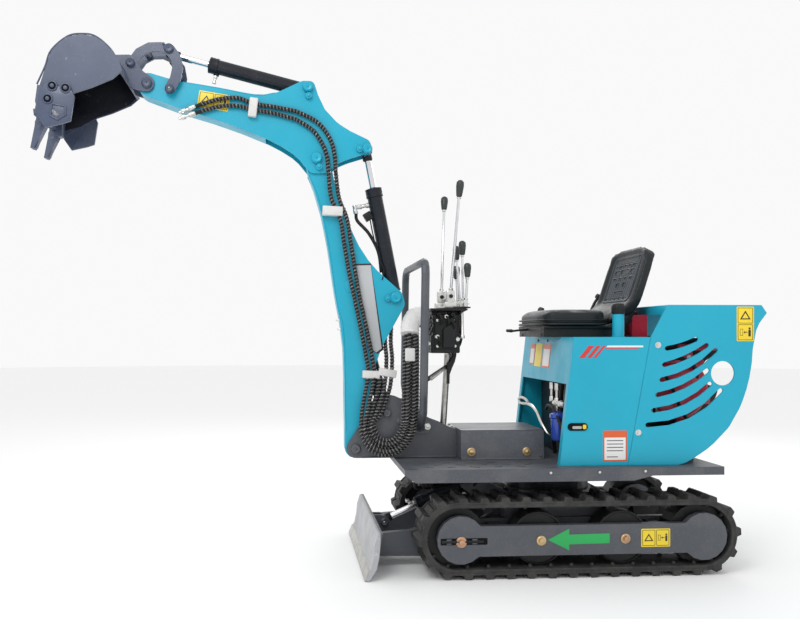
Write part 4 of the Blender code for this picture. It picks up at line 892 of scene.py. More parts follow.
# ---- boom, arm and their cylinders
class EXCAVATOR_OT_boom_fittings(bpy.types.Operator):
    """Pin bosses, locks, weld seams, nipple and side studs of the boom"""
    bl_idname = "excavator.boom_fittings"
    bl_label = "Boom fittings"

    def execute(self, context):
        bm = bmesh.new()
        for side in SIDES:
            pin_boss(bm, -0.604, 0.991, 0.0465, side, 0.0195, (-0.03, -0.003))
            turned(bm, (-0.776, side * 0.0385, 1.034), (0, side, 0),
                [(-0.001, 0.024), (0.003, 0.023), (0.004, 0.02)], 30)
            weld(bm, [(-0.7955, side * 0.0385, 0.48), (-0.803, side * 0.0385, 0.85),
                (-0.829, side * 0.0385, 0.97), (-0.862, side * 0.0385, 1.2), (-0.897, side * 0.0385, 1.36),
                (-0.938, side * 0.0385, 1.462)], 0.0024)
        for z in (0.87, 0.905):
            turned(bm, (-0.812 if z < 0.9 else -0.818, 0, z), (-1, 0, 0.05),
                [(-0.004, 0.006), (0.006, 0.006), (0.008, 0.0042), (0.012, 0.0042), (0.013, 0.003)], 6, 2)
        mark = bmesh.new()
        for side in SIDES:
            face = side * 0.039
            strip = [(-0.764, 1.12), (-0.699, 1.122), (-0.65, 0.792), (-0.674, 0.776), (-0.712, 0.8)]
            sheet(mark, strip, face, face + side * 0.0007, 0.0002, 1)
            middle = (-0.703, 0.94)
            inner = [(middle[0] + (x - middle[0]) * 0.86, middle[1] + (z - middle[1]) * 0.965) for x,
                z in strip]
            sheet(mark, inner, face, face + side * 0.0011, 0.0002)
        piece("boom_strip", mark, "silverfilm ink", "boom")
        piece("boom_bosses", bm, "body body zinc", "boom")
        return {"FINISHED"}


class EXCAVATOR_OT_arm_fittings(bpy.types.Operator):
    """Pin bosses, locks, welds and warning plate of the arm"""
    bl_idname = "excavator.arm_fittings"
    bl_label = "Arm fittings"

    def execute(self, context):
        bm = bmesh.new()
        for side in SIDES:
            pin_boss(bm, -0.907, 1.52, 0.0575, side, 0.019, (0.01, -0.0345))
            pin_boss(bm, -0.941, 1.787, 0.0575, side, 0.017, (0.004, -0.033))
            pin_boss(bm, -0.714, 1.557, 0.0575, side, 0.017, (-0.029, -0.002))
            weld(bm, [(-1.41, side * 0.0475, 1.7975), (-1.275, side * 0.0475, 1.7775),
                (-1.133, side * 0.0475, 1.7545), (-1.064, side * 0.0475, 1.7635)], 0.0026)
        piece("arm_bosses", bm, "body body", "arm")
        sign = bmesh.new()
        for side in SIDES:
            warning_plate(sign, -1.352, -1.236, 1.698, 1.76, side * 0.049, side, wide=True)
        bmesh.ops.rotate(sign, cent=at(-1.294, 0, 1.729), matrix=Matrix.Rotation(0.15, 3, "Y"),
            verts=sign.verts)
        piece("arm_sign", sign, "label ink", "arm")
        return {"FINISHED"}


CYLINDERS = {
    # name: base pin, rod pin, barrel radius, gland distance, rod radius, rest eye radius
    "boom_cylinder": ((-0.64, 0.552), (-0.776, 1.034), 0.027, 0.405, 0.0125, 0.022),
    "arm_cylinder": ((-0.604, 0.991), (-0.714, 1.557), 0.029, 0.43, 0.013, 0.022),
    "bucket_cylinder": ((-0.941, 1.787), (-1.457, 1.914), 0.027, 0.383, 0.0125, 0.02),
    "blade_cylinder": ((-0.33, 0.275), (-0.648, 0.133), 0.025, 0.205, 0.012, 0.021),
}


def cylinder_line(name):
    """A cylinder's base pin, its rod's eye and the direction between them."""
    (x0, z0), (x1, z1) = CYLINDERS[name][:2]
    base, eye = at(x0, 0, z0), at(x1, 0, z1)
    return base, eye, (eye - base).normalized()


def stack(target, foot, way, rods):
    """Rods in one line from a foot, each with its start, end, radius, sides and material."""
    for start, end, radius, sides, index in rods:
        add(target, rod(foot + way * start, foot + way * end, radius, sides), index)


class EXCAVATOR_OT_cylinders(bpy.types.Operator):
    """Gland nuts, wiper rings, weld seams, ports and elbows of the cylinders"""
    bl_idname = "excavator.cylinders"
    bl_label = "Cylinders"

    def execute(self, context):
        for name, (_, _, radius, gland, rod_r, eye_r) in CYLINDERS.items():
            a, b, along = cylinder_line(name)
            bm = bmesh.new()
            add(bm, lathe(a + along * (gland - 0.03), along, [(-0.003, radius), (-0.003, radius + 0.0036),
                (0.005, radius + 0.0036), (0.006, radius + 0.0028), (0.024, radius + 0.0028),
                (0.026, radius + 0.0038), (0.03, radius + 0.003), (0.0315, radius - 0.003),
                (0.0315, rod_r + 0.003), (0.0345, rod_r + 0.0025), (0.0345, rod_r + 0.0008),
                (0.026, rod_r + 0.0008), (0.02, radius - 0.001), (-0.003, radius)], 30), 0)
            for k in range(6):
                angle = 2 * math.pi * k / 6
                side = along.orthogonal().normalized()
                side = Matrix.Rotation(angle, 3, along) @ side
                add(bm, lathe(a + along * (gland - 0.014) + side * (radius + 0.0024), side,
                    [(-0.001, 0.0032), (0.0008, 0.0032), (0.0008, 0.0015), (0, 0)], 10), 0)
            add(bm, lathe(a + along * eye_r * 1.3, along, [(-0.003, radius * 0.86), (-0.001, radius + 0.001),
                (0.002, radius + 0.0022), (0.005, radius + 0.0008), (0.006, radius - 0.001),
                (-0.003, radius * 0.86)], 30), 0)
            piece(name + "_collars", bm, "cylinder", name + "_barrel")
            neck = bmesh.new()
            add(neck, lathe(b, -along, [(eye_r * 0.7, rod_r + 0.006), (eye_r * 1.5, rod_r + 0.006),
                (eye_r * 1.7, rod_r + 0.003), (eye_r * 1.7, rod_r - 0.001), (eye_r * 0.9, 0)], 26))
            for side in SIDES:
                add(neck, lathe(b + Vector((0, side * 0.0178, 0)), (0, side, 0),
                    [(-0.004, eye_r * 0.5), (-0.004, eye_r + 0.0008), (-0.001, eye_r + 0.0008),
                    (0.0003, eye_r - 0.001), (0.0003, eye_r * 0.5), (-0.004, eye_r * 0.5)], 26))
            add(neck, lathe(b, (0, 1, 0), [(-0.017, eye_r), (-0.017, eye_r + 0.0008), (0.017, eye_r + 0.0008),
                (0.017, eye_r), (-0.017, eye_r)], 28))
            piece(name + "_rod_eye", neck, "cylinder", name + "_rod")

        elbow = bmesh.new()
        a, _, along = cylinder_line("arm_cylinder")
        front = Vector((-along.z, 0, along.x))
        port = a + along * 0.372
        stack(elbow, port, front, ((0.026, 0.04, 0.0105, 6, 0), (0.038, 0.06, 0.0075, 16, 0),
            (0.056, 0.072, 0.01, 6, 0), (0.07, 0.084, 0.0065, 16, 0)))
        joint = port + front * 0.084
        add(elbow, rod(joint - along * 0.01, joint + along * 0.01, 0.0085, 16), 0)
        add(elbow, rod(joint - along * 0.024, joint - along * 0.008, 0.0095, 6), 0)
        add(elbow, lathe(port + front * 0.026, front, [(-0.001, 0.0135), (0.002, 0.013)], 20), 1)
        start = joint - along * 0.022
        add(elbow, tube(smooth([start, start - along * 0.03, at(-0.705, -0.014, 1.24),
            at(-0.668, -0.012, 1.17), at(-0.655, -0.004, 1.09)]), 0.0066), 2)
        low = a + along * 0.05
        add(elbow, rod(low + front * 0.026, low + front * 0.038, 0.01, 6), 0)
        cube = block((-0.722, -0.018, 1.29), (-0.692, 0.01, 1.322), 0.002)
        bmesh.ops.rotate(cube, cent=at(-0.707, 0, 1.306), matrix=Matrix.Rotation(-0.55, 3, "Y"),
            verts=cube.verts)
        add(elbow, cube, 1)
        piece("arm_cylinder_port", elbow, "zinc black hose", "arm_cylinder_barrel")
        wire = gather(tube(smooth([at(-0.7, -0.02, 1.292), at(-0.69, -0.02, 1.24), at(-0.668, -0.024, 1.15),
            at(-0.648, -0.03, 1.1), at(-0.655, -0.041, 1.06)]), 0.0026, 1))
        piece("sensor_wire", wire, "hose", "boom")

        stem = bmesh.new()
        a, _, along = cylinder_line("bucket_cylinder")
        down = Vector((along.z, 0, -along.x))
        if down.z > 0:
            down = -down
        port = a + along * 0.35
        stack(stem, port, down, ((0.024, 0.034, 0.011, 22, 1), (0.032, 0.046, 0.0078, 6, 0),
            (0.044, 0.06, 0.0058, 14, 0), (0.056, 0.066, 0.0078, 6, 0)))
        low = a + along * 0.048
        add(stem, rod(low + down * 0.024, low + down * 0.036, 0.01, 20), 1)
        piece("bucket_cylinder_ports", stem, "zinc cylinder", "bucket_cylinder_barrel")
        return {"FINISHED"}


# ---- hoses
HOSE_Y = -0.0605
UPPER_ARM = [(-1.395, 1.69), (-1.34, 1.712), (-1.27, 1.734), (-1.202, 1.739), (-1.146, 1.72), (-1.064, 1.708)]
LOWER_ARM = [(-1.395, 1.666), (-1.34, 1.686), (-1.27, 1.706), (-1.202, 1.709), (-1.135, 1.694),
    (-1.064, 1.683)]
UPPER_TURN = [(-0.985, 1.694), (-0.913, 1.66), (-0.868, 1.612), (-0.842, 1.55), (-0.834, 1.46)]
LOWER_TURN = [(-0.985, 1.663), (-0.925, 1.626), (-0.892, 1.583), (-0.869, 1.53), (-0.862, 1.46)]
UPPER_BOOM = [(-0.834, 1.46), (-0.822, 1.368), (-0.792, 1.29), (-0.776, 1.19), (-0.759, 1.08), (-0.743, 0.99),
    (-0.708, 0.83), (-0.686, 0.706)]
LOWER_BOOM = [(-0.862, 1.46), (-0.852, 1.368), (-0.818, 1.29), (-0.802, 1.19), (-0.783, 1.08), (-0.764, 0.99),
    (-0.731, 0.83), (-0.708, 0.706)]


def guarded_hose(target, points, hose_index=0, guard_index=1):
    """A hose with a spiral guard wound round it."""
    path = smooth(points, 6)
    r = sizes().hose
    add(target, tube(path, r, 2), hose_index)
    add(target, tube(helix(path, r + 0.0003, sizes().wrap), 0.0025, 0), guard_index)


def fitting(target, tip, way, index=2):
    """A crimped sleeve and a union nut on a hose's end."""
    tip, way = Vector(tip), Vector(way).normalized()
    r = sizes().hose
    add(target, lathe(tip, way, [(-0.004, r + 0.0012), (0, r + 0.003), (0.004, r + 0.0026),
        (0.006, r + 0.0032), (0.01, r + 0.0026), (0.012, r + 0.0032), (0.016, r + 0.0026), (0.02, r + 0.0028),
        (0.023, r * 0.72), (0.04, r * 0.66)], 22), index)
    add(target, rod(tip + way * 0.034, tip + way * 0.05, r + 0.0028, 6), index)
    add(target, rod(tip + way * 0.049, tip + way * 0.062, r * 0.75, 14), index)


def strap(target, low, high, index, tilt=0.0):
    bm = block(low, high, 0.004, 3)
    if tilt:
        middle = at(*[(a + b) / 2 for a, b in zip(low, high)])
        bmesh.ops.rotate(bm, cent=middle, matrix=Matrix.Rotation(tilt, 3, "Y"), verts=bm.verts)
    add(target, bm, index)


def beside(points, y=HOSE_Y):
    return [at(x, y, z) for x, z in points]


def loop_route(k):
    """The route of one hose of the loop before the house, from clamp to valve, k = 0 the outermost."""
    y = -0.01 * (k % 2)
    rise = -0.014 * (k % 2)
    return [at(-0.708 + 0.0218 * k, -0.0605, 0.706), at(-0.721 + 0.0225 * k, -0.068 + y, 0.64),
        at(-0.737 + 0.0185 * k, -0.08 + y, 0.555), at(-0.739 + 0.0115 * k, -0.092 + y, 0.48 + 0.008 * k),
        at(-0.706 + 0.008 * k, -0.098 + y, 0.417 + 0.012 * k),
        at(-0.648 + 0.002 * k, -0.1 + y, 0.398 + 0.013 * k),
        at(-0.594 - 0.004 * k, -0.106 + y, 0.414 + 0.013 * k),
        at(-0.553 - 0.009 * k, -0.122 + y, 0.47 + 0.01 * k), at(-0.54 - 0.012 * k, -0.15 + rise, 0.56),
        at(-0.54 - 0.012 * k, -0.168 + rise, 0.69), at(-0.54 - 0.011 * k, -0.172 + rise, 0.8),
        at(-0.538 - 0.009 * k, -0.158 + rise, 0.876), at(-0.52 - 0.004 * k, -0.118 + rise, 0.918 - 0.006 * k),
        at(-0.472, -0.084, 0.915 - 0.016 * k)]


class EXCAVATOR_OT_hoses(bpy.types.Operator):
    """Spiral guarded hoses over the arm, the elbow, the boom and the loop in front of the house"""
    bl_idname = "excavator.hoses"
    bl_label = "Hoses"

    def execute(self, context):
        looks = "hose wrap zinc strap"
        bm = bmesh.new()
        for route, turn in ((UPPER_ARM, UPPER_TURN), (LOWER_ARM, LOWER_TURN)):
            guarded_hose(bm, beside(route[1:] + turn[:1]))
            ahead = beside(route[:2])
            add(bm, tube([ahead[0].lerp(ahead[1], 0.25), ahead[1]], sizes().hose, 2), 0)
            fitting(bm, ahead[0].lerp(ahead[1], 0.55), ahead[0] - ahead[1], 2)
        strap(bm, (-1.162, -0.0725, 1.668), (-1.13, -0.048, 1.74), 3, 0.12)
        obj = piece("arm_hose_pair", bm, looks, "arm")
        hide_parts("arm_hoses")

        bm = bmesh.new()
        for turn in (UPPER_TURN, LOWER_TURN):
            guarded_hose(bm, beside(turn))
        obj = piece("elbow_hose_pair", bm, looks, ("arm", "boom", at(-0.985, HOSE_Y, 1.68),
            at(-0.848, HOSE_Y, 1.46)))
        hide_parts("elbow_hoses")

        bm = bmesh.new()
        for route in (UPPER_BOOM, LOWER_BOOM):
            guarded_hose(bm, beside(route))
        for x in (-0.6426, -0.6208):
            guarded_hose(bm, [at(x + 0.004, -0.01, 0.88), at(x + 0.001, -0.02, 0.82),
                at(x + 0.003, -0.046, 0.765), at(x, -0.0605, 0.706)])
        strap(bm, (-0.885, -0.0725, 1.3), (-0.808, -0.04, 1.336), 3, 0.05)
        strap(bm, (-0.733, -0.074, 0.684), (-0.667, -0.04, 0.713), 3, 0.04)
        strap(bm, (-0.672, -0.076, 0.69), (-0.604, -0.042, 0.719), 3, 0.16)
        obj = piece("boom_hose_run", bm, looks, "boom")
        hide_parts("boom_hoses")

        bm = bmesh.new()
        for k in range(5):
            guarded_hose(bm, loop_route(k))
        sleeve = smooth([at(-0.569, -0.18, 0.852), at(-0.565, -0.168, 0.886), at(-0.546, -0.142, 0.914),
            at(-0.518, -0.112, 0.922)], 6)
        cover = tube(sleeve, 0.034, 4)
        bmesh.ops.subdivide_edges(cover, edges=cover.edges, cuts=1, use_grid_fill=True)
        for v in cover.verts:
            p = v.co * 150
            v.co += v.normal * 0.0018 * math.sin(p.x + 1.7 * math.sin(p.z)) * math.cos(1.3 * p.y + p.z)
        add(bm, cover, 3)
        strap(bm, (-0.588, -0.203, 0.752), (-0.552, -0.19, 0.8), 3)
        obj = piece("front_hose_loop", bm, looks, ("boom", "house", at(-0.65, -0.11, 0.42),
            at(-0.594, -0.1437, 0.42)))
        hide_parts("hose_loop")
        return {"FINISHED"}


# ---- bucket and linkage
class EXCAVATOR_OT_linkage(bpy.types.Operator):
    """Pins, collars and bolts of rocker and link"""
    bl_idname = "excavator.linkage"
    bl_label = "Linkage"

    def execute(self, context):
        bm = bmesh.new()
        for side in SIDES:
            pin_boss(bm, -1.457, 1.914, 0.074, side, 0.0165)
            bolt(bm, at(-1.478, side * 0.062, 1.934), (0, side, 0), 0.006, 1, washer=False)
        piece("rocker_pins", bm, "digging digging", "rocker")
        bm = bmesh.new()
        for side in SIDES:
            pin_boss(bm, -1.454, 1.764, 0.079, side, 0.0145)
        piece("rocker_foot_pins", bm, "digging zinc", "arm")
        return {"FINISHED"}


class EXCAVATOR_OT_bucket(bpy.types.Operator):
    """Side cutters, tooth points, pins, ribs and weld seams of the bucket"""
    bl_idname = "excavator.bucket"
    bl_label = "Bucket"

    def execute(self, context):
        bm = bmesh.new()
        for side in SIDES:
            face, top = side * 0.1995, side * 0.207
            cutter = [(-1.87, 1.744), (-1.78, 1.7165), (-1.771, 1.695), (-1.785, 1.608), (-1.814, 1.598),
                (-1.874, 1.584), (-1.904, 1.627), (-1.894, 1.712)]
            sheet(bm, cutter, side * 0.189, face + side * 0.0012, 0.0016)
            field = [(-1.85, 1.669), (-1.8, 1.661), (-1.798, 1.628), (-1.83, 1.608), (-1.858, 1.623)]
            rim = [(x + (-1.827 - x) * 0.18, z + (1.64 - z) * 0.18) for x, z in field]
            sheet(bm, [field, rim], face, top - side * 0.0015, 0.0015)
            sheet(bm, rim, face, face + side * 0.0022, 0.0004, 1)
            for x, z in ((-1.848, 1.731), (-1.802, 1.724), (-1.864, 1.685)):
                turned(bm, (x, face, z), (0, side, 0), [(0.001, 0.013), (0.001, 0.019), (0.0045, 0.0185),
                    (0.006, 0.0165), (0.006, 0.014), (0.001, 0.013)], 28)
                # painted shade: a near-black disc at the bottom of each boss ring
                turned(bm, (x, face, z), (0, side, 0), [(0.0008, 0.0135), (0.0018, 0.0135)], 24, 2)
                bolt(bm, at(x, face + side * 0.0012, z), (0, side, 0), 0.0082, 1, washer=False)
            weld(bm, [(-1.905, side * 0.186, 1.74), (-1.877, side * 0.186, 1.803),
                (-1.856, side * 0.186, 1.861), (-1.8, side * 0.186, 1.912), (-1.75, side * 0.186, 1.923),
                (-1.7, side * 0.186, 1.915), (-1.645, side * 0.186, 1.868), (-1.612, side * 0.186, 1.806)],
                0.0032)
            for x, z, r in ((-1.6, 1.862, 0.015), (-1.54, 1.788, 0.0175)):
                pin_boss(bm, x, z, 0.0615 if r > 0.016 else 0.064, side, r)
            weld(bm, [(-1.664, side * 0.0505, 1.892), (-1.64, side * 0.0505, 1.866),
                (-1.622, side * 0.0505, 1.835), (-1.611, side * 0.0505, 1.802)], 0.003)
        piece("bucket_fittings", bm, "digging worn pocket", "bucket")
        bm = bmesh.new()
        for y in (-0.09, 0.09):
            tip = bmesh.new()
            bmesh.ops.create_cube(tip, size=1.0)
            bmesh.ops.scale(tip, vec=(0.032, 0.042, 0.098), verts=tip.verts)
            bmesh.ops.scale(tip, vec=(0.3, 0.62, 1.0), verts=[v for v in tip.verts if v.co.z < 0])
            bmesh.ops.subdivide_edges(tip, edges=[e for e in tip.edges
                if abs(e.verts[0].co.z - e.verts[1].co.z) > 0.05], cuts=1)
            bmesh.ops.scale(tip, vec=(1.12, 1.06, 1.0), verts=[v for v in tip.verts if abs(v.co.z) < 0.01])
            bevelled(tip, 0.0025, 2)
            bmesh.ops.rotate(tip, cent=(0, 0, 0), matrix=Matrix.Rotation(0.19, 3, "Y"), verts=tip.verts)
            bmesh.ops.translate(tip, vec=at(-1.9265, y, 1.579), verts=tip.verts)
            add(bm, tip, 0)
            slab(bm, (-1.928, y - 0.0215, 1.612), (-1.88, y + 0.0215, 1.674), 0.004, 1)
            for side in SIDES:
                turned(bm, (-1.906, y + side * 0.0215, 1.64), (0, side, 0),
                    [(-0.001, 0.007), (0.002, 0.0065)], 16)
        sheet(bm, [(-1.918, 1.652), (-1.906, 1.652), (-1.9085, 1.628), (-1.9155, 1.629)], -0.1885, 0.1885,
            0.0008)
        piece("bucket_teeth", bm, "worn digging", "bucket")
        # painted shade: thin dark sheets laid over the bucket's inside and its cheeks
        bm = bmesh.new()
        shade_outline = [(-1.8985, 1.69), (-1.8865, 1.7255), (-1.864, 1.7965), (-1.844, 1.8545), (-1.823, 1.878),
            (-1.794, 1.899), (-1.75, 1.91), (-1.706, 1.902), (-1.6785, 1.885), (-1.6505, 1.8555),
            (-1.6295, 1.8255), (-1.619, 1.795)]
        inner = [(x + (-1.76 - x) * 0.01, z + (1.77 - z) * 0.01) for x, z in shade_outline]
        sheet(bm, shade_outline + inner[::-1], -0.1812, 0.1812, 0.0001)
        for side in SIDES:
            cheek = [(-1.897, 1.66)] + shade_outline[1:] + [(-1.64, 1.77), (-1.714, 1.735), (-1.772, 1.715),
                (-1.838, 1.676)]
            sheet(bm, cheek, side * 0.1808, side * 0.1819, 0.0002)
        piece("bucket_lining", bm, "inside", "bucket")
        return {"FINISHED"}


# ---- house
class EXCAVATOR_OT_covers(bpy.types.Operator):
    """Seams, screws, plates, stripes, slot frames and return flanges of the covers"""
    bl_idname = "excavator.covers"
    bl_label = "Covers"

    def execute(self, context):
        for name, side in (("left", -1), ("right", 1)):
            face = side * 0.32
            out = Vector((0, side, 0))
            heads = bmesh.new()
            for x, z in ((0.311, 0.812), (0.238, 0.498)):
                turned(heads, (x, face, z), out, [(0, 0.011), (0.0016, 0.011), (0.0022, 0.01)], 26)
                bolt(heads, at(x, face + side * 0.001, z), out, 0.0078, 0, washer=False)
            piece("cover_screws_" + name, heads, "zinc", "house")
            marks = bmesh.new()
            warning_plate(marks, 0.604, 0.669, 0.826, 0.951, face, side, wide=False)
            sheet(marks, oblong(0.108, 0.196, 0.396, 0.506, 0.003), face, face + side * 0.0008, 0.0003, 3)
            sheet(marks, oblong(0.113, 0.191, 0.401, 0.481, 0.002), face, face + side * 0.0011, 0.0003, 2)
            for z in (0.47, 0.458, 0.446, 0.434, 0.412):
                sheet(marks, oblong(0.122, 0.182 - 0.02 * (z < 0.42), z - 0.0016, z + 0.0016, 0.0005), face,
                    face + side * 0.0013, 0.0001, 5)
            for x0, w in ((0.02, 0.02), (0.05, 0.014), (0.073, 0.01)):
                stripe = [(x0, 0.766), (x0 + w, 0.766), (x0 + w + 0.036, 0.81), (x0 + 0.036, 0.81)]
                if side > 0:
                    stripe = [(0.276 - x, z) for x, z in stripe]
                sheet(marks, stripe, face, face + side * 0.0007, 0.0001, 4)
            band = [(0.12, 0.804), (0.256, 0.804), (0.256, 0.8105), (0.124, 0.8105)]
            under = [(0.116, 0.7985), (0.236, 0.7985), (0.24, 0.802), (0.118, 0.802)]
            if side > 0:
                band, under = [(0.276 - x, z) for x, z in band], [(0.276 - x, z) for x, z in under]
            sheet(marks, band, face, face + side * 0.0007, 0.0001, 2)
            sheet(marks, under, face, face + side * 0.0007, 0.0001, 4)
            piece("cover_marks_" + name, marks, "label ink white orange redfilm chassis",
                "house")
            # painted shade: the grip slot's floor is a near-black sheet
            slot = gather(plate(oblong(-0.022, 0.052, 0.506, 0.534, 0.0135, 6), face - side * 0.0005,
                face + side * 0.0006, 0.0002))
            sheet(slot, [oblong(-0.0245, 0.0545, 0.5035, 0.5365, 0.016, 6),
                oblong(-0.022, 0.052, 0.506, 0.534, 0.0135, 6)], face - side * 0.0005, face + side * 0.0016,
                0.0006, 1)
            sheet(slot, oblong(-0.004, 0.03, 0.513, 0.523, 0.004), face, face + side * 0.0011, 0.0004, 3)
            sheet(slot, oblong(0.034, 0.047, 0.512, 0.528, 0.004), face, face + side * 0.0011, 0.0004, 2)
            piece("cover_grip_" + name, slot, "pocket body label steel", "house")
        flange = bmesh.new()
        for side in SIDES:
            inner = side * 0.3135
            back = [(0.698, 0.953), (0.714, 0.927), (0.6775, 0.88), (0.661, 0.8), (0.655, 0.72),
                (0.632, 0.632), (0.597, 0.55), (0.543, 0.479), (0.463, 0.416), (0.42, 0.388)]
            path = smooth([(x, 0, z) for x, z in back], 3)
            strip = [(p.x, p.z) for p in path]
            offset = [(x - 0.004, z + 0.001) for x, z in strip]
            sheet(flange, strip + offset[::-1], inner, side * 0.296, 0.0004)
            slab(flange, (0.352, inner, 0.9502), (0.692, side * 0.28, 0.9506), 0)
        piece("cover_flanges", flange, "body", "house")
        lip = gather(block((0.346, -0.3125, 0.9215), (0.3515, 0.3125, 0.956), 0.002))
        piece("hood_lip", lip, "body", "house")
        return {"FINISHED"}


class EXCAVATOR_OT_engine_bay(bpy.types.Operator):
    """Engine, fan shroud, tank, filter and pipes that show through the slots and behind the seat"""
    bl_idname = "excavator.engine_bay"
    bl_label = "Engine bay"

    def execute(self, context):
        looks = "black engine zinc steel hose"
        bm = bmesh.new()
        for side in SIDES:
            y = side * 0.202
            turned(bm, (0.43, y, 0.65), (0, side, 0), [(0, 0.105), (0.03, 0.11), (0.036, 0.1), (0.036, 0.04),
                (0.044, 0.034)], 32, 1)
            for k in range(7):
                add(bm, block((0.246 + k * 0.014, y, 0.56), (0.252 + k * 0.014, y + side * 0.05, 0.69), 0.001,
                    1), 3)
            turned(bm, (0.29, y + side * 0.002, 0.47), (0, side, 0),
                [(0, 0.052), (0.014, 0.052), (0.016, 0.044), (0.02, 0.044), (0.022, 0.052), (0.036, 0.052),
                (0.038, 0.046)], 30)
            pipe(bm, [(0.27, y + side * 0.045, 0.76), (0.32, y + side * 0.06, 0.742),
                (0.4, y + side * 0.064, 0.765), (0.47, y + side * 0.055, 0.74),
                (0.498, y + side * 0.03, 0.69)], 0.0075, 4)
            pipe(bm, [(0.3, y + side * 0.05, 0.715), (0.36, y + side * 0.07, 0.7),
                (0.43, y + side * 0.062, 0.56), (0.48, y + side * 0.045, 0.52)], 0.0065, 4)
            slab(bm, (0.33, y, 0.745), (0.47, y + side * 0.06, 0.79), 0.006, 1)
            for k in range(4):
                bolt(bm, at(0.35 + 0.034 * k, y + side * 0.06, 0.768), (0, side, 0), 0.006, 2)
        bar(bm, (0.5, -0.09, 0.47), (0.5, 0.09, 0.47), 0.045, 28, edge=0.006)
        mass = plate(smooth_outline([(0.235, 0.43), (0.4, 0.425), (0.5, 0.48), (0.565, 0.56), (0.602, 0.645),
            (0.56, 0.664), (0.538, 0.705), (0.556, 0.752), (0.612, 0.772), (0.612, 0.826), (0.47, 0.84),
            (0.33, 0.842), (0.235, 0.8)]), -0.195, 0.195, 0.012)
        add(bm, mass, 0)
        for side in SIDES:
            for x0, x1, z0, z1, look in ((0.44, 0.585, 0.79, 0.815, 1), (0.395, 0.535, 0.728, 0.758, 1),
                    (0.47, 0.53, 0.668, 0.694, 1), (0.405, 0.56, 0.59, 0.628, 1),
                    (0.425, 0.52, 0.52, 0.55, 1), (0.25, 0.33, 0.61, 0.64, 0), (0.33, 0.365, 0.545, 0.59, 2),
                    (0.275, 0.3, 0.7, 0.73, 2)):
                slab(bm, (x0, side * 0.19, z0), (x1, side * 0.214, z1), 0.006, look)
            for k in range(9):
                x = 0.262 + 0.026 * k
                bolt(bm, at(x, side * 0.214, 0.655 + 0.1 * math.sin(2.2 * k)), (0, side, 0), 0.0055,
                    2 + k % 2)
        pipe(bm, [(0.5, -0.12, 0.56), (0.54, -0.13, 0.52), (0.545, -0.12, 0.44), (0.52, -0.1, 0.392)], 0.012,
            3)
        piece("engine_details", bm, looks, "house")

        tank = bmesh.new()
        for y in (-0.07, 0.07):
            slab(tank, (0.2835, y - 0.058, 0.85), (0.2862, y + 0.058, 0.915), 0.001)
        turned(tank, (0.316, -0.06, 0.925), (0, 0, 1), [(-0.001, 0.022), (0.012, 0.022), (0.014, 0.019)], 26,
            1)
        piece("tank_details", tank, "engine black", "house")

        cap = bmesh.new()
        turned(cap, (0.193, -0.245, 0.841), (0, 0, 1), [(0, 0.0235), (0.003, 0.0235), (0.0045, 0.0212),
            (0.083, 0.0212)], 30)
        turned(cap, (0.193, -0.245, 0.923), (0, 0, 1), [(0, 0.0205), (0.003, 0.0225), (0.034, 0.0228),
            (0.038, 0.021), (0.0415, 0.016), (0.042, 0)], 30, 1)
        for k in range(20):
            a = 2 * math.pi * k / 20
            c = at(0.193 + 0.0226 * math.cos(a), -0.245 + 0.0226 * math.sin(a), 0)
            add(cap, rod(Vector((c.x, c.y, 0.929)), Vector((c.x, c.y, 0.955)), 0.0022, 6, edge=0.0006), 1)
        obj = piece("fuel_filler", cap, "body black", "house")
        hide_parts("filler_neck")
        return {"FINISHED"}


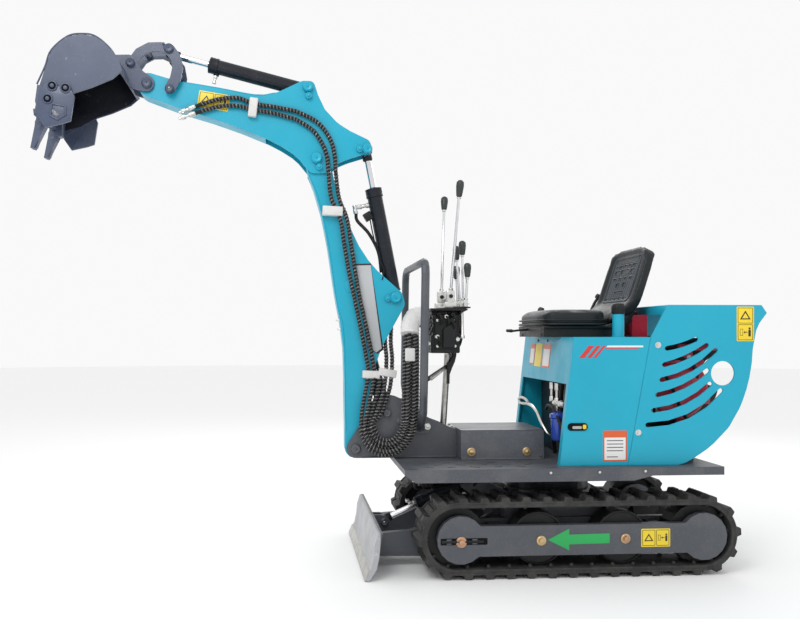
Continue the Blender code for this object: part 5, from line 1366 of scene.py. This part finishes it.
class EXCAVATOR_OT_console(bpy.types.Operator):
    """Labels, pump fittings, filter and hoses at the console's open front"""
    bl_idname = "excavator.console"
    bl_label = "Console front"

    def execute(self, context):
        looks = "zinc hose blue black engine strap"
        bm = bmesh.new()
        slab(bm, (0.06, -0.28, 0.384), (0.07, 0.28, 0.66), 0.001, 3)
        for y, x in ((-0.15, -0.006), (-0.06, 0.002)):
            bar(bm, (x, y, 0.668), (x, y, 0.64), 0.01, 6)
            bar(bm, (x, y, 0.642), (x, y, 0.61), 0.0068, 16)
            bar(bm, (x, y, 0.612), (x, y, 0.592), 0.0105, 6)
        bar(bm, (-0.006, -0.15, 0.6), (-0.006, -0.15, 0.545), 0.0085, 16)
        bar(bm, (-0.004, -0.24, 0.592), (-0.004, -0.12, 0.59), 0.011, 16)
        bar(bm, (-0.004, -0.205, 0.592), (-0.004, -0.182, 0.591), 0.0145, 6)
        bar(bm, (-0.004, -0.14, 0.59), (-0.004, -0.118, 0.59), 0.0145, 6)
        turned(bm, (-0.012, -0.175, 0.56), (0, -0.06, -1), [(0, 0.02), (0.006, 0.03), (0.02, 0.03),
            (0.024, 0.026), (0.095, 0.025), (0.104, 0.019), (0.108, 0.006)], 28, 2)
        for x, y, z in ((0.015, -0.27, 0.662), (0.02, -0.205, 0.662), (0.024, -0.12, 0.662),
                (0.018, -0.05, 0.662)):
            pipe(bm, [(x, y, z), (x - 0.004, y + 0.004, 0.6), (x + 0.006, y + 0.016, 0.52),
                (x + 0.004, y + 0.03, 0.44), (x + 0.01, y + 0.036, 0.388)], 0.0075, 1)
        pipe(bm, [(-0.01, -0.02, 0.56), (-0.022, -0.09, 0.58), (-0.024, -0.165, 0.572),
            (-0.018, -0.225, 0.52), (-0.006, -0.255, 0.455), (0.004, -0.262, 0.39)], 0.0058, 1)
        pipe(bm, [(-0.028, 0.17, 0.566), (-0.034, 0.09, 0.564), (-0.034, 0.02, 0.545), (-0.03, -0.03, 0.505),
            (-0.016, -0.055, 0.47), (0.004, -0.06, 0.455)], 0.0066)
        slab(bm, (-0.01, -0.275, 0.42), (0.03, -0.205, 0.446), 0.004, 4)
        slab(bm, (-0.006, -0.262, 0.388), (0.034, -0.19, 0.418), 0.004, 3)
        pipe(bm, [(-0.03, 0.165, 0.572), (-0.034, 0.19, 0.584), (-0.034, 0.262, 0.586),
            (-0.034, 0.292, 0.574), (-0.034, 0.262, 0.562), (-0.03, 0.165, 0.566)], 0.0058, 5)
        piece("console_fittings", bm, looks, "house")
        marks = bmesh.new()
        lean = 0.052 / 0.46
        for y0, y1, z0, z1, look in ((0.15, 0.215, 0.728, 0.812, 3), (0.156, 0.209, 0.734, 0.793, 1),
                (0.052, 0.14, 0.722, 0.815, 0), (-0.062, 0.035, 0.72, 0.812, 3),
                (-0.054, 0.027, 0.727, 0.794, 1)):
            lift = 0.0008 if look == 1 else 0.0004
            x0 = -0.05 + lean * (z0 - 0.3813)
            x1 = -0.05 + lean * (z1 - 0.3813)
            film = bmesh.new()
            bmesh.ops.create_cube(film, size=1.0)
            bmesh.ops.scale(film, vec=(0.0008, y1 - y0, z1 - z0), verts=film.verts)
            bmesh.ops.rotate(film, cent=(0, 0, 0), matrix=Matrix.Rotation(math.atan2(x1 - x0, z1 - z0), 3,
                "Y"), verts=film.verts)
            bmesh.ops.translate(film, vec=at((x0 + x1) / 2 - lift, (y0 + y1) / 2, (z0 + z1) / 2),
                verts=film.verts)
            add(marks, film, look)
        for y in (0.12, -0.01):
            turned(marks, (0.0, y, 0.826), (-1, 0, 0.1), [(-0.001, 0.006), (0.002, 0.0055)], 16, 2)
        piece("console_marks", marks, "label white black orange", "house")
        return {"FINISHED"}


# ---- seat
def level(points, value):
    """A value read off a list of (key, value) steps."""
    for (k0, v0), (k1, v1) in zip(points, points[1:]):
        if value <= k1:
            return v0 + (v1 - v0) * max(0.0, (value - k0) / (k1 - k0))
    return points[-1][1]


def squircle(a, b, power=5.0):
    """Pull a unit square's points into a square with round corners."""
    m = max(abs(a), abs(b))
    if m < 1e-6:
        return a, b
    r = 1.0 / ((abs(a) / m) ** power + (abs(b) / m) ** power) ** (1 / power)
    return a * r, b * r


def lump(cuts):
    """A cube two units wide, cut into a grid on every face."""
    bm = bmesh.new()
    bmesh.ops.create_cube(bm, size=2.0)
    bmesh.ops.subdivide_edges(bm, edges=bm.edges, cuts=cuts, use_grid_fill=True)
    return bm


def swell(name, bm, voxel=0.006, pressure=4.0, cap=0.006):
    """Blow a closed shape up as sewn cloth, and keep what it becomes. Returns a bmesh."""
    mesh = bpy.data.meshes.new(name)
    bm.to_mesh(mesh)
    bm.free()
    obj = bpy.data.objects.new(name, mesh)
    scene = bpy.context.scene
    scene.collection.objects.link(obj)
    grid = obj.modifiers.new("grid", "REMESH")
    grid.mode = "VOXEL"
    grid.voxel_size = voxel
    made = bpy.data.meshes.new_from_object(obj.evaluated_get(bpy.context.evaluated_depsgraph_get()))
    obj.modifiers.clear()
    obj.data = made
    rest = [v.co.copy() for v in made.vertices]
    cloth = obj.modifiers.new("cloth", "CLOTH")
    cloth.settings.quality = 5
    cloth.settings.mass = 0.3
    cloth.settings.use_pressure = True
    cloth.settings.uniform_pressure_force = pressure
    cloth.settings.effector_weights.gravity = 0
    cloth.collision_settings.use_collision = False
    scene.frame_start, scene.frame_end = 1, 20
    for count in range(1, 21):
        scene.frame_set(count)
    blown = bpy.data.meshes.new_from_object(obj.evaluated_get(bpy.context.evaluated_depsgraph_get()))
    obj.modifiers.clear()
    obj.data = blown
    for vertex, start in zip(blown.vertices, rest):
        step = vertex.co - start
        if step.length > cap:
            vertex.co = start + step.normalized() * cap
    scene.frame_set(1)
    done = bmesh.new()
    done.from_mesh(obj.data)
    bpy.data.objects.remove(obj)
    bmesh.ops.smooth_vert(done, verts=done.verts, factor=0.5, use_axis_x=True, use_axis_y=True,
        use_axis_z=True)
    bmesh.ops.recalc_face_normals(done, faces=done.faces)
    return done


def softened(obj):
    smoother = obj.modifiers.new("smooth", "SUBSURF")
    smoother.levels = smoother.render_levels = 1
    return obj


BACK_FRONT = [(0.886, 0.2), (0.905, 0.201), (0.93, 0.208), (0.945, 0.222), (0.96, 0.24), (0.975, 0.255),
    (0.995, 0.267), (1.03, 0.279), (1.186, 0.33)]
BACK_REAR = [(0.886, 0.243), (0.905, 0.26), (0.93, 0.284), (0.955, 0.302), (0.975, 0.31), (1.0, 0.317),
    (1.186, 0.376)]


class EXCAVATOR_OT_seat_cushion(bpy.types.Operator):
    """Vinyl seat cushion with a rolled front, piping and a moulded lower band"""
    bl_idname = "excavator.seat_cushion"
    bl_label = "Seat cushion"

    def execute(self, context):
        bm = lump(15)
        for v in bm.verts:
            x, y, z = v.co
            m = max(abs(x), abs(y))
            px, py = squircle(x, y, 5.0)
            crown = 0.005 * (1 - px * px) + 0.003 * (1 - py * py)
            drop = 0.014 * max(0.0, (-px - 0.7) / 0.3) ** 2 + 0.005 * max(0.0, (abs(py) - 0.8) / 0.2) ** 2
            dish = 0.004 * math.exp(-(px * 1.6) ** 2) * math.exp(-(py * 1.3) ** 4)
            top = 0.934 + crown - drop - dish
            pinch = 0.0055 if m > 0.98 and (z > 0.98 or z < -0.98) else 0.0
            v.co = at(0.056 + px * (0.129 - pinch), py * (0.1995 - pinch),
                0.889 + (z + 1) / 2 * (top - 0.889))
        bm = swell("cushion_skin", bm, 0.006, 4.0, 0.006)
        low = at(0, 0, 0.8848).z
        for v in bm.verts:
            v.co.z = max(v.co.z, low)
        cushion = softened(piece("seat_cushion_pad", bm, "vinyl", "house", 60))
        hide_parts("seat_cushion")

        bm = bmesh.new()
        for z, grow, thick in ((0.905, 0.0, 0.0028), (0.8895, -0.0005, 0.0042)):
            ring = []
            for k in range(72):
                a = 2 * math.pi * k / 72
                c, s = math.cos(a), math.sin(a)
                m = max(abs(c), abs(s))
                px, py = squircle(c / m, s / m, 5.0)
                ring.append(at(0.056 + px * (0.1325 + grow), py * (0.203 + grow), z))
            add(bm, tube(ring, thick, 2, closed=True))
        piece("seat_piping", bm, "vinyl", "house", 60)
        return {"FINISHED"}


SLOTS = [  # across, up, half width, half height: the slots of the backrest's panel
    (0.0, 1.142, 0.108, 0.0075), (-0.08, 1.098, 0.02, 0.007), (-0.01, 1.098, 0.042, 0.008),
    (0.072, 1.098, 0.024, 0.007), (-0.088, 1.121, 0.014, 0.0034), (-0.044, 1.121, 0.014, 0.0034),
    (0.0, 1.121, 0.014, 0.0034), (0.044, 1.121, 0.014, 0.0034), (0.088, 1.121, 0.014, 0.0034),
    (-0.034, 1.044, 0.015, 0.0095), (0.034, 1.044, 0.015, 0.0095), (-0.08, 1.071, 0.013, 0.003),
    (-0.027, 1.071, 0.013, 0.003), (0.027, 1.071, 0.013, 0.003), (0.08, 1.071, 0.013, 0.003),
    (-0.09, 0.99, 0.016, 0.0045), (-0.045, 0.99, 0.016, 0.0045), (0.0, 0.99, 0.016, 0.0045),
    (0.045, 0.99, 0.016, 0.0045), (0.09, 0.99, 0.016, 0.0045), (0.0, 1.018, 0.04, 0.0024)]


class EXCAVATOR_OT_seat_backrest(bpy.types.Operator):
    """Backrest with a thick padded rim and a sunk, slotted and ribbed panel"""
    bl_idname = "excavator.seat_backrest"
    bl_label = "Seat backrest"

    def execute(self, context):
        low, high, half = 0.888, 1.181, 0.197

        def width(z):
            return half * level([(0.886, 0.8), (0.93, 0.9), (0.975, 0.97), (1.03, 1.0), (1.186, 0.97)], z)

        bm = lump(15)
        for v in bm.verts:
            a, b, c = v.co
            b, c = squircle(b, c, 5.5)
            m = max(abs(b), abs(c))
            z = low + (c + 1) / 2 * (high - low)
            front, rear = level(BACK_FRONT, z) + 0.003, level(BACK_REAR, z) - 0.003
            thin = 0.006 if m > 0.96 and abs(a) > 0.96 else 0.0
            x = (front + rear) / 2 + a * ((rear - front) / 2 - thin)
            v.co = at(x, b * width(z), z - 0.01 * a * max(0.0, c) ** 3)
        bm = swell("backrest_skin", bm, 0.006, 3.0, 0.004)
        for v in bm.verts:
            x, y, z = v.co.x - AXIS_X, v.co.y, v.co.z
            b = y / width(z)
            c = (z - low) / (high - low) * 2 - 1
            middle = (level(BACK_FRONT, z) + level(BACK_REAR, z)) / 2
            if x < middle:
                m = (abs(b * 1.24) ** 6 + abs((c - 0.2) * 1.38) ** 6) ** (1 / 6)
                v.co.x += 0.011 * min(1.0, max(0.0, (1.06 - m) / 0.1))
        back = softened(piece("seat_backrest_pad", bm, "vinyl", "house", 60))
        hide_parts("seat_backrest")

        panel = bmesh.new()
        bmesh.ops.create_grid(panel, x_segments=100, y_segments=110, size=1.0)
        deep = set()
        for v in panel.verts:
            b, c = squircle(v.co.x, v.co.y, 7.0)
            z = 1.07 + c * 0.096
            y = b * 0.142 * (1.0 + 0.02 * c)
            rise = 0.0024 if 0.86 < max(abs(b), abs(c)) < 0.95 else 0.0
            rise += 0.001 * max(0.0, math.cos(y * 2 * math.pi / 0.0215)) ** 3 if abs(c) < 0.8 else 0.0
            sunk = 0.0
            for sy, sz, sw, sh in SLOTS:
                d = math.hypot(max(0.0, abs(y - sy) - (sw - sh)), z - sz) - sh
                if d < 0.0035:
                    rise = max(rise, 0.0022 * min(1.0, max(0.0, 1 - abs(d - 0.0018) / 0.0018)))
                if d < 0:
                    sunk = 0.007 * min(1.0, -d / 0.0016)
                    rise = 0.0
            x = level(BACK_FRONT, z) + 0.0125 - rise + sunk
            if sunk > 0.003:
                deep.add(v.index)
            v.co = at(x, y, z)
        edges = [e for e in panel.edges if e.is_boundary]
        grown = bmesh.ops.extrude_edge_only(panel, edges=edges)
        bmesh.ops.translate(panel, vec=(0.012, 0, 0), verts=[g for g in grown["geom"]
            if isinstance(g, bmesh.types.BMVert)])
        bmesh.ops.recalc_face_normals(panel, faces=panel.faces)
        panel.faces.ensure_lookup_table()
        if sum(f.normal.x * f.calc_area() for f in panel.faces) > 0:
            bmesh.ops.reverse_faces(panel, faces=panel.faces)
        # painted shade: the deep floors of the slots take the near-black shade finish
        for face in panel.faces:
            face.material_index = 1 if all(v.index in deep for v in face.verts) else 0
        piece("seat_panel", panel, "panel pocket", "house", 50)
        return {"FINISHED"}


class EXCAVATOR_OT_seat_base(bpy.types.Operator):
    """Seat pan, slide rails, slide lever and adjusting knobs"""
    bl_idname = "excavator.seat_base"
    bl_label = "Seat base"

    def execute(self, context):
        looks = "black zinc knob hose"
        bm = bmesh.new()
        for side in SIDES:
            y = side * 0.135
            slab(bm, (-0.066, y - 0.0185, 0.8425), (0.235, y + 0.0185, 0.8545), 0.002)
            slab(bm, (-0.06, y - 0.014, 0.854), (0.222, y + 0.014, 0.866), 0.002, 1)
            slab(bm, (-0.066, y - 0.017, 0.8655), (0.2, y + 0.017, 0.8715), 0.002)
            for x in (-0.045, 0.06, 0.19):
                bolt(bm, at(x, y + side * 0.0185, 0.848), (0, side, 0), 0.005, 1, washer=False)
        pan = block((-0.066, -0.184, 0.871), (0.205, 0.184, 0.8838), 0.006, 3)
        add(bm, pan, 0)
        pipe(bm, [(-0.04, 0.06, 0.87), (-0.09, 0.06, 0.868), (-0.12, 0.059, 0.865), (-0.144, 0.058, 0.866)],
            0.0044)
        turned(bm, (-0.122, 0.059, 0.865), (-0.99, -0.05, 0.04), [(0, 0.0058), (0.004, 0.007), (0.024, 0.006),
            (0.0265, 0.0035)], 18, 2)
        pipe(bm, [(0.01, 0.19, 0.872), (0.016, 0.208, 0.88), (0.024, 0.214, 0.905), (0.034, 0.215, 0.935)],
            0.005)
        turned(bm, (0.034, 0.215, 0.935), (0.3, 0, 0.95), [(0, 0.008), (0.006, 0.013), (0.02, 0.0145),
            (0.029, 0.01), (0.031, 0)], 22, 2)
        pipe(bm, [(0.236, 0.196, 0.93), (0.252, 0.206, 0.955), (0.268, 0.21, 0.985), (0.282, 0.21, 1.005)],
            0.006)
        turned(bm, (0.286, 0.208, 1.006), (-0.5, 0.6, 0.5), [(0, 0.009), (0.004, 0.012), (0.014, 0.011),
            (0.016, 0)], 20, 2)
        for side in SIDES:
            ear = plate([(0.18, 0.866), (0.25, 0.866), (0.286, 0.925), (0.296, 0.965), (0.284, 0.97),
                (0.27, 0.94), (0.232, 0.902), (0.182, 0.886)], side * 0.158, side * 0.164, 0.002)
            add(bm, ear, 0)
            bolt(bm, at(0.23, side * 0.164, 0.884), (0, side, 0), 0.0075, 1)
        piece("seat_frame", bm, looks, "house")
        return {"FINISHED"}


# ---- handrail, valve and levers
class EXCAVATOR_OT_handrail_fittings(bpy.types.Operator):
    """Bolts, welds and brace of the handrail and the valve stand"""
    bl_idname = "excavator.handrail_fittings"
    bl_label = "Handrail fittings"

    def execute(self, context):
        bm = bmesh.new()
        for side in SIDES:
            bolt(bm, at(-0.4855, side * 0.0722, 0.5), (0, side, 0), 0.0085, 0)
            bolt(bm, at(-0.533, side * 0.0722, 0.52), (0, side, 0), 0.0065, 0)
            turned(bm, (-0.513, side * 0.0722, 0.5), (0, side, 0),
                [(-0.001, 0.014), (-0.001, 0.0195), (0.002, 0.0185), (0.004, 0.0155), (0.004, 0.014),
                (-0.001, 0.014)], 26, 1)
        piece("handrail_bolts", bm, "zinc chassis", "house")
        brace = bmesh.new()
        bar(brace, (-0.402, -0.006, 0.7252), (-0.52, -0.252, 0.685), 0.0082, 16, edge=0.002)
        sheet(brace, [(-0.364, 0.8), (-0.364, 0.77), (-0.37, 0.745), (-0.38, 0.723), (-0.39, 0.696),
            (-0.391, 0.66), (-0.401, 0.66), (-0.402, 0.74), (-0.39, 0.748), (-0.382, 0.76), (-0.378, 0.778),
            (-0.378, 0.8)], -0.024, 0.024, 0.003)
        for y in (-0.033, 0.033):
            for x in (-0.42, -0.384):
                bolt(brace, at(x, y, POST_FOOT_TOP), (0, 0, 1), 0.0058, 1, washer=False)
        piece("stand_brace", brace, "black zinc", "house")
        return {"FINISHED"}


POST_FOOT_TOP = 0.4943


class EXCAVATOR_OT_valve(bpy.types.Operator):
    """Sectioned control valve with its unions, springs and hoses"""
    bl_idname = "excavator.valve"
    bl_label = "Control valve"

    def execute(self, context):
        bm = bmesh.new()
        for k in range(5):
            y = -0.066 + 0.033 * k
            slab(bm, (-0.4735, y - 0.0135, 0.78), (-0.3615, y + 0.0135, 0.927), 0.004)
            for z in (0.815, 0.87):
                bar(bm, (-0.47, y, z), (-0.48, y, z), 0.0095, 6, 1 if (k + (z > 0.85)) % 3 == 0 else 0)
            bar(bm, (-0.362, y, 0.86), (-0.356, y, 0.86), 0.009, 6)
            turned(bm, (-0.415, y, 0.927), (0, 0, 1), [(0, 0.0115), (0.01, 0.0115), (0.012, 0.009),
                (0.016, 0.009)], 18)
        for side in SIDES:
            y = side * 0.075
            slab(bm, (-0.46, y, 0.795), (-0.372, y + side * 0.008, 0.915), 0.003)
            for x, z in ((-0.45, 0.806), (-0.382, 0.806), (-0.45, 0.904), (-0.382, 0.904)):
                bolt(bm, at(x, y + side * 0.008, z), (0, side, 0), 0.006, 1, washer=False)
            turned(bm, (-0.416, y + side * 0.008, 0.85), (0, side, 0),
                [(-0.001, 0.017), (0.008, 0.017), (0.01, 0.013)], 6)
            turned(bm, (-0.372, y + side * 0.006, 0.832), (0, side, 0),
                [(-0.001, 0.01), (0.006, 0.01), (0.009, 0.007)], 20, 1)
        slab(bm, (-0.47, -0.074, 0.779), (-0.364, 0.074, 0.941), 0.003)
        sheet(bm, [(-0.476, 0.9405), (-0.476, 0.9497), (-0.342, 0.9497), (-0.336, 0.944), (-0.362, 0.93),
            (-0.362, 0.9405)], -0.1, 0.1, 0.002)
        sheet(bm, [(-0.43, 0.8), (-0.43, 0.87), (-0.4, 0.89), (-0.38, 0.87), (-0.385, 0.8)], -0.099, -0.08,
            0.004)
        for k, (x, z) in enumerate(((-0.448, 0.925), (-0.42, 0.918), (-0.395, 0.926), (-0.455, 0.842),
                (-0.4, 0.905))):
            bar(bm, (x, -0.07, z), (x + 0.003, -0.096 - 0.002 * k, z), 0.0085, 6, 1 if k % 2 else 0)
            pipe(bm, [(x + 0.003, -0.096, z), (x + 0.006, -0.104, z - 0.004), (x + 0.012, -0.104, z - 0.02),
                (x + 0.01, -0.094, z - 0.034)], 0.0046, 2)
        for y in (-0.098, -0.06, 0.06, 0.098):
            turned(bm, (-0.338, y * 0.9, 0.945), (1, 0, 0), [(-0.001, 0.0035), (0.004, 0.003)], 12, 1)
        for k, y in enumerate((-0.086, -0.05, 0.05, 0.086)):
            pipe(bm, [(-0.362, y, 0.939), (-0.356, y * 0.95, 0.91), (-0.352 - 0.002 * k, y * 0.9, 0.86),
                (-0.358, y * 0.8, 0.818), (-0.364, y * 0.6, 0.8)], 0.0045, 2)
        turned(bm, (-0.356, -0.088, 0.94), (0.02, 0, -1), [(0, 0.006), (0.09, 0.006), (0.094, 0.009),
            (0.104, 0.009), (0.106, 0)], 16, 1)
        bar(bm, (-0.4, -0.015, 0.79), (-0.4, -0.015, 0.773), 0.0095, 6, 1)
        obj = piece("valve_parts", bm, "black zinc hose", "house")
        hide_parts("valve_block")
        return {"FINISHED"}


LEVERS = [  # foot, top of the rod, tip of the knob, rod radius
    ((-0.391, -0.04, 1.01), (-0.3735, -0.122, 1.374), (-0.3705, -0.134, 1.43), 0.0056),
    ((-0.412, 0.04, 1.01), (-0.3875, 0.117, 1.358), (-0.384, 0.126, 1.408), 0.0056),
    ((-0.34, -0.08, 0.97), (-0.3335, -0.08, 1.075), (-0.333, -0.08, 1.124), 0.0048),
    ((-0.34, -0.03, 0.97), (-0.343, -0.03, 1.164), (-0.3432, -0.03, 1.214), 0.0048),
    ((-0.34, 0.03, 0.97), (-0.354, 0.03, 1.15), (-0.3555, 0.03, 1.2), 0.0048),
    ((-0.34, 0.08, 0.97), (-0.3448, 0.08, 1.078), (-0.345, 0.08, 1.126), 0.0048)]


class EXCAVATOR_OT_levers(bpy.types.Operator):
    """Chrome control levers with knobs, lock nuts, forks and their cast heads"""
    bl_idname = "excavator.levers"
    bl_label = "Control levers"

    def execute(self, context):
        bm = bmesh.new()
        for k, (foot, top, tip, r) in enumerate(LEVERS):
            a, b, c = at(*foot), at(*top), at(*tip)
            way = (b - a).normalized()
            add(bm, rod(a - way * 0.002, b + way * 0.01, r, 18), 0)
            size = 1.16 if k < 2 else 1.12
            span = (c - b).length
            add(bm, lathe(b, c - b, [(-0.006, 0.0075 * size), (-0.002, 0.0095 * size),
                (span * 0.25, 0.0112 * size), (span * 0.6, 0.0128 * size), (span * 0.84, 0.0118 * size),
                (span * 0.96, 0.007 * size), (span, 0)], 26), 2)
            add(bm, rod(b - way * 0.014, b - way * 0.006, r + 0.003, 6), 1)
            add(bm, rod(a + way * 0.01, a + way * 0.02, r + 0.0034, 6), 1)
            if k < 2:
                add(bm, rod(a - way * 0.004, a + way * 0.012, r + 0.005, 20), 1)
                add(bm, rod(a + way * 0.06, a + way * 0.064, r + 0.001, 18), 1)
            else:
                slab(bm, (foot[0] - 0.0075, foot[1] - 0.0075, 0.9515),
                    (foot[0] + 0.0075, foot[1] + 0.0075, 0.982), 0.002, 1)
                for side in SIDES:
                    turned(bm, (foot[0], foot[1] + side * 0.0075, 0.968), (0, side, 0),
                        [(-0.001, 0.005), (0.003, 0.0046)], 14, 1)
        for x, y in ((-0.391, -0.04), (-0.412, 0.04)):
            slab(bm, (x - 0.025, y - 0.023, 0.9505), (x + 0.019, y + 0.023, 0.974), 0.003, 1)
            slab(bm, (x - 0.016, y - 0.017, 0.97), (x + 0.014, y + 0.017, 1.02), 0.0035, 1)
            bar(bm, (x - 0.002, y - 0.022, 0.997), (x - 0.002, y + 0.022, 0.997), 0.007, 18, 1)
            bar(bm, (x - 0.002, y - 0.025, 0.997), (x - 0.002, y - 0.02, 0.997), 0.0085, 6, 3)
        slab(bm, (-0.438, -0.048, 0.9505), (-0.374, 0.048, 0.958), 0.002, 1)
        bar(bm, (-0.4, -0.055, 0.985), (-0.4, 0.055, 0.985), 0.0052, 18, 1)
        bar(bm, (-0.331, -0.094, 0.968), (-0.331, 0.094, 0.968), 0.004, 14)
        slab(bm, (-0.375, -0.094, 0.9505), (-0.3235, 0.094, 0.956), 0.0015, 3)
        for y in (-0.055, 0.0, 0.055):
            turned(bm, (-0.352, y, 0.955), (0, 0, 1), [(0, 0.007), (0.008, 0.007), (0.01, 0.0045),
                (0.016, 0.0045), (0.017, 0)], 18, 1)
        obj = piece("lever_set", bm, "chrome zinc knob black", "house")
        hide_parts("control_levers")
        return {"FINISHED"}


# ---- stage
def soft_light(name, place, target, width, height, power, tint=(1, 1, 1)):
    light = bpy.data.lights.new(name, "AREA")
    light.shape = "RECTANGLE"
    light.size, light.size_y, light.energy, light.color = width, height, power, tint
    obj = bpy.data.objects.new(name, light)
    obj.location = place
    obj.rotation_euler = (Vector(target) - Vector(place)).to_track_quat("-Z", "Y").to_euler()
    bpy.context.scene.collection.objects.link(obj)


class EXCAVATOR_OT_stage(bpy.types.Operator):
    """Camera, pale floor, white surroundings and soft lights"""
    bl_idname = "excavator.stage"
    bl_label = "Stage"

    def execute(self, context):
        scene = context.scene
        lens = bpy.data.cameras.new("camera")
        lens.lens, lens.sensor_width = sizes().lens, 36.0
        lens.shift_x, lens.shift_y = 0.0575, 0.033
        lens.clip_end = 60
        camera = bpy.data.objects.new("camera", lens)
        camera.location = at(-1.02148, -3.39, 0.845)
        camera.rotation_euler = (math.radians(90), 0, -math.radians(4.4))
        scene.collection.objects.link(camera)
        scene.camera = camera

        mat, _, shader = shader_of("pale_floor")
        shader.inputs["Base Color"].default_value = (0.93, 0.93, 0.93, 1)
        shader.inputs["Roughness"].default_value = 0.9
        bm = bmesh.new()
        bmesh.ops.create_circle(bm, cap_ends=True, segments=64, radius=22)
        bmesh.ops.translate(bm, vec=(0, 0, -0.0006), verts=bm.verts)
        mesh = bpy.data.meshes.new("floor")
        bm.to_mesh(mesh)
        bm.free()
        mesh.materials.append(mat)
        floor = bpy.data.objects.new("floor", mesh)
        scene.collection.objects.link(floor)

        world = bpy.data.worlds.new("surroundings")
        world.use_nodes = True
        world.node_tree.nodes["Background"].inputs["Color"].default_value = (1, 1, 1, 1)
        world.node_tree.nodes["Background"].inputs["Strength"].default_value = 0.95
        scene.world = world
        scene.view_settings.view_transform = "Standard"
        middle = at(-0.5, 0, 0.9)
        soft_light("key_light", at(-2.2, -3.0, 3.6), middle, 1.6, 1.6, 60)
        soft_light("fill_light", at(2.6, -3.2, 2.0), middle, 2.6, 2.2, 4)
        soft_light("back_light", at(0.8, 3.4, 3.2), middle, 3.0, 1.6, 40)
        return {"FINISHED"}


STEPS = [EXCAVATOR_OT_finishes, EXCAVATOR_OT_tracks, EXCAVATOR_OT_undercarriage, EXCAVATOR_OT_blade_fittings,
    EXCAVATOR_OT_deck_fittings, EXCAVATOR_OT_bracket_fittings, EXCAVATOR_OT_boom_fittings,
    EXCAVATOR_OT_arm_fittings, EXCAVATOR_OT_cylinders, EXCAVATOR_OT_hoses, EXCAVATOR_OT_linkage,
    EXCAVATOR_OT_bucket, EXCAVATOR_OT_covers, EXCAVATOR_OT_engine_bay, EXCAVATOR_OT_console,
    EXCAVATOR_OT_seat_cushion, EXCAVATOR_OT_seat_backrest, EXCAVATOR_OT_seat_base,
    EXCAVATOR_OT_handrail_fittings, EXCAVATOR_OT_valve, EXCAVATOR_OT_levers, EXCAVATOR_OT_stage]


class EXCAVATOR_PT_looks(bpy.types.Panel):
    """Sizes, colours and pieces of the excavator"""
    bl_label = "Excavator"
    bl_idname = "EXCAVATOR_PT_looks"
    bl_space_type = "VIEW_3D"
    bl_region_type = "UI"
    bl_category = "Excavator"

    def draw(self, context):
        layout = self.layout
        for group in (context.scene.excavator_colours, context.scene.excavator_sizes):
            for key in type(group).__annotations__:
                layout.prop(group, key)
        for step in STEPS:
            layout.operator(step.bl_idname, text=step.bl_label)


CLASSES = [ExcavatorColours, ExcavatorSizes, *STEPS, EXCAVATOR_PT_looks]


def register():
    for cls in CLASSES:
        bpy.utils.register_class(cls)
    bpy.types.Scene.excavator_colours = PointerProperty(type=ExcavatorColours)
    bpy.types.Scene.excavator_sizes = PointerProperty(type=ExcavatorSizes)


def unregister():
    del bpy.types.Scene.excavator_sizes
    del bpy.types.Scene.excavator_colours
    for cls in reversed(CLASSES):
        bpy.utils.unregister_class(cls)


def main():
    register()
    for step in STEPS:
        group, name = step.bl_idname.split(".")
        getattr(getattr(bpy.ops, group), name)()


if __name__ == "__main__":
    main()
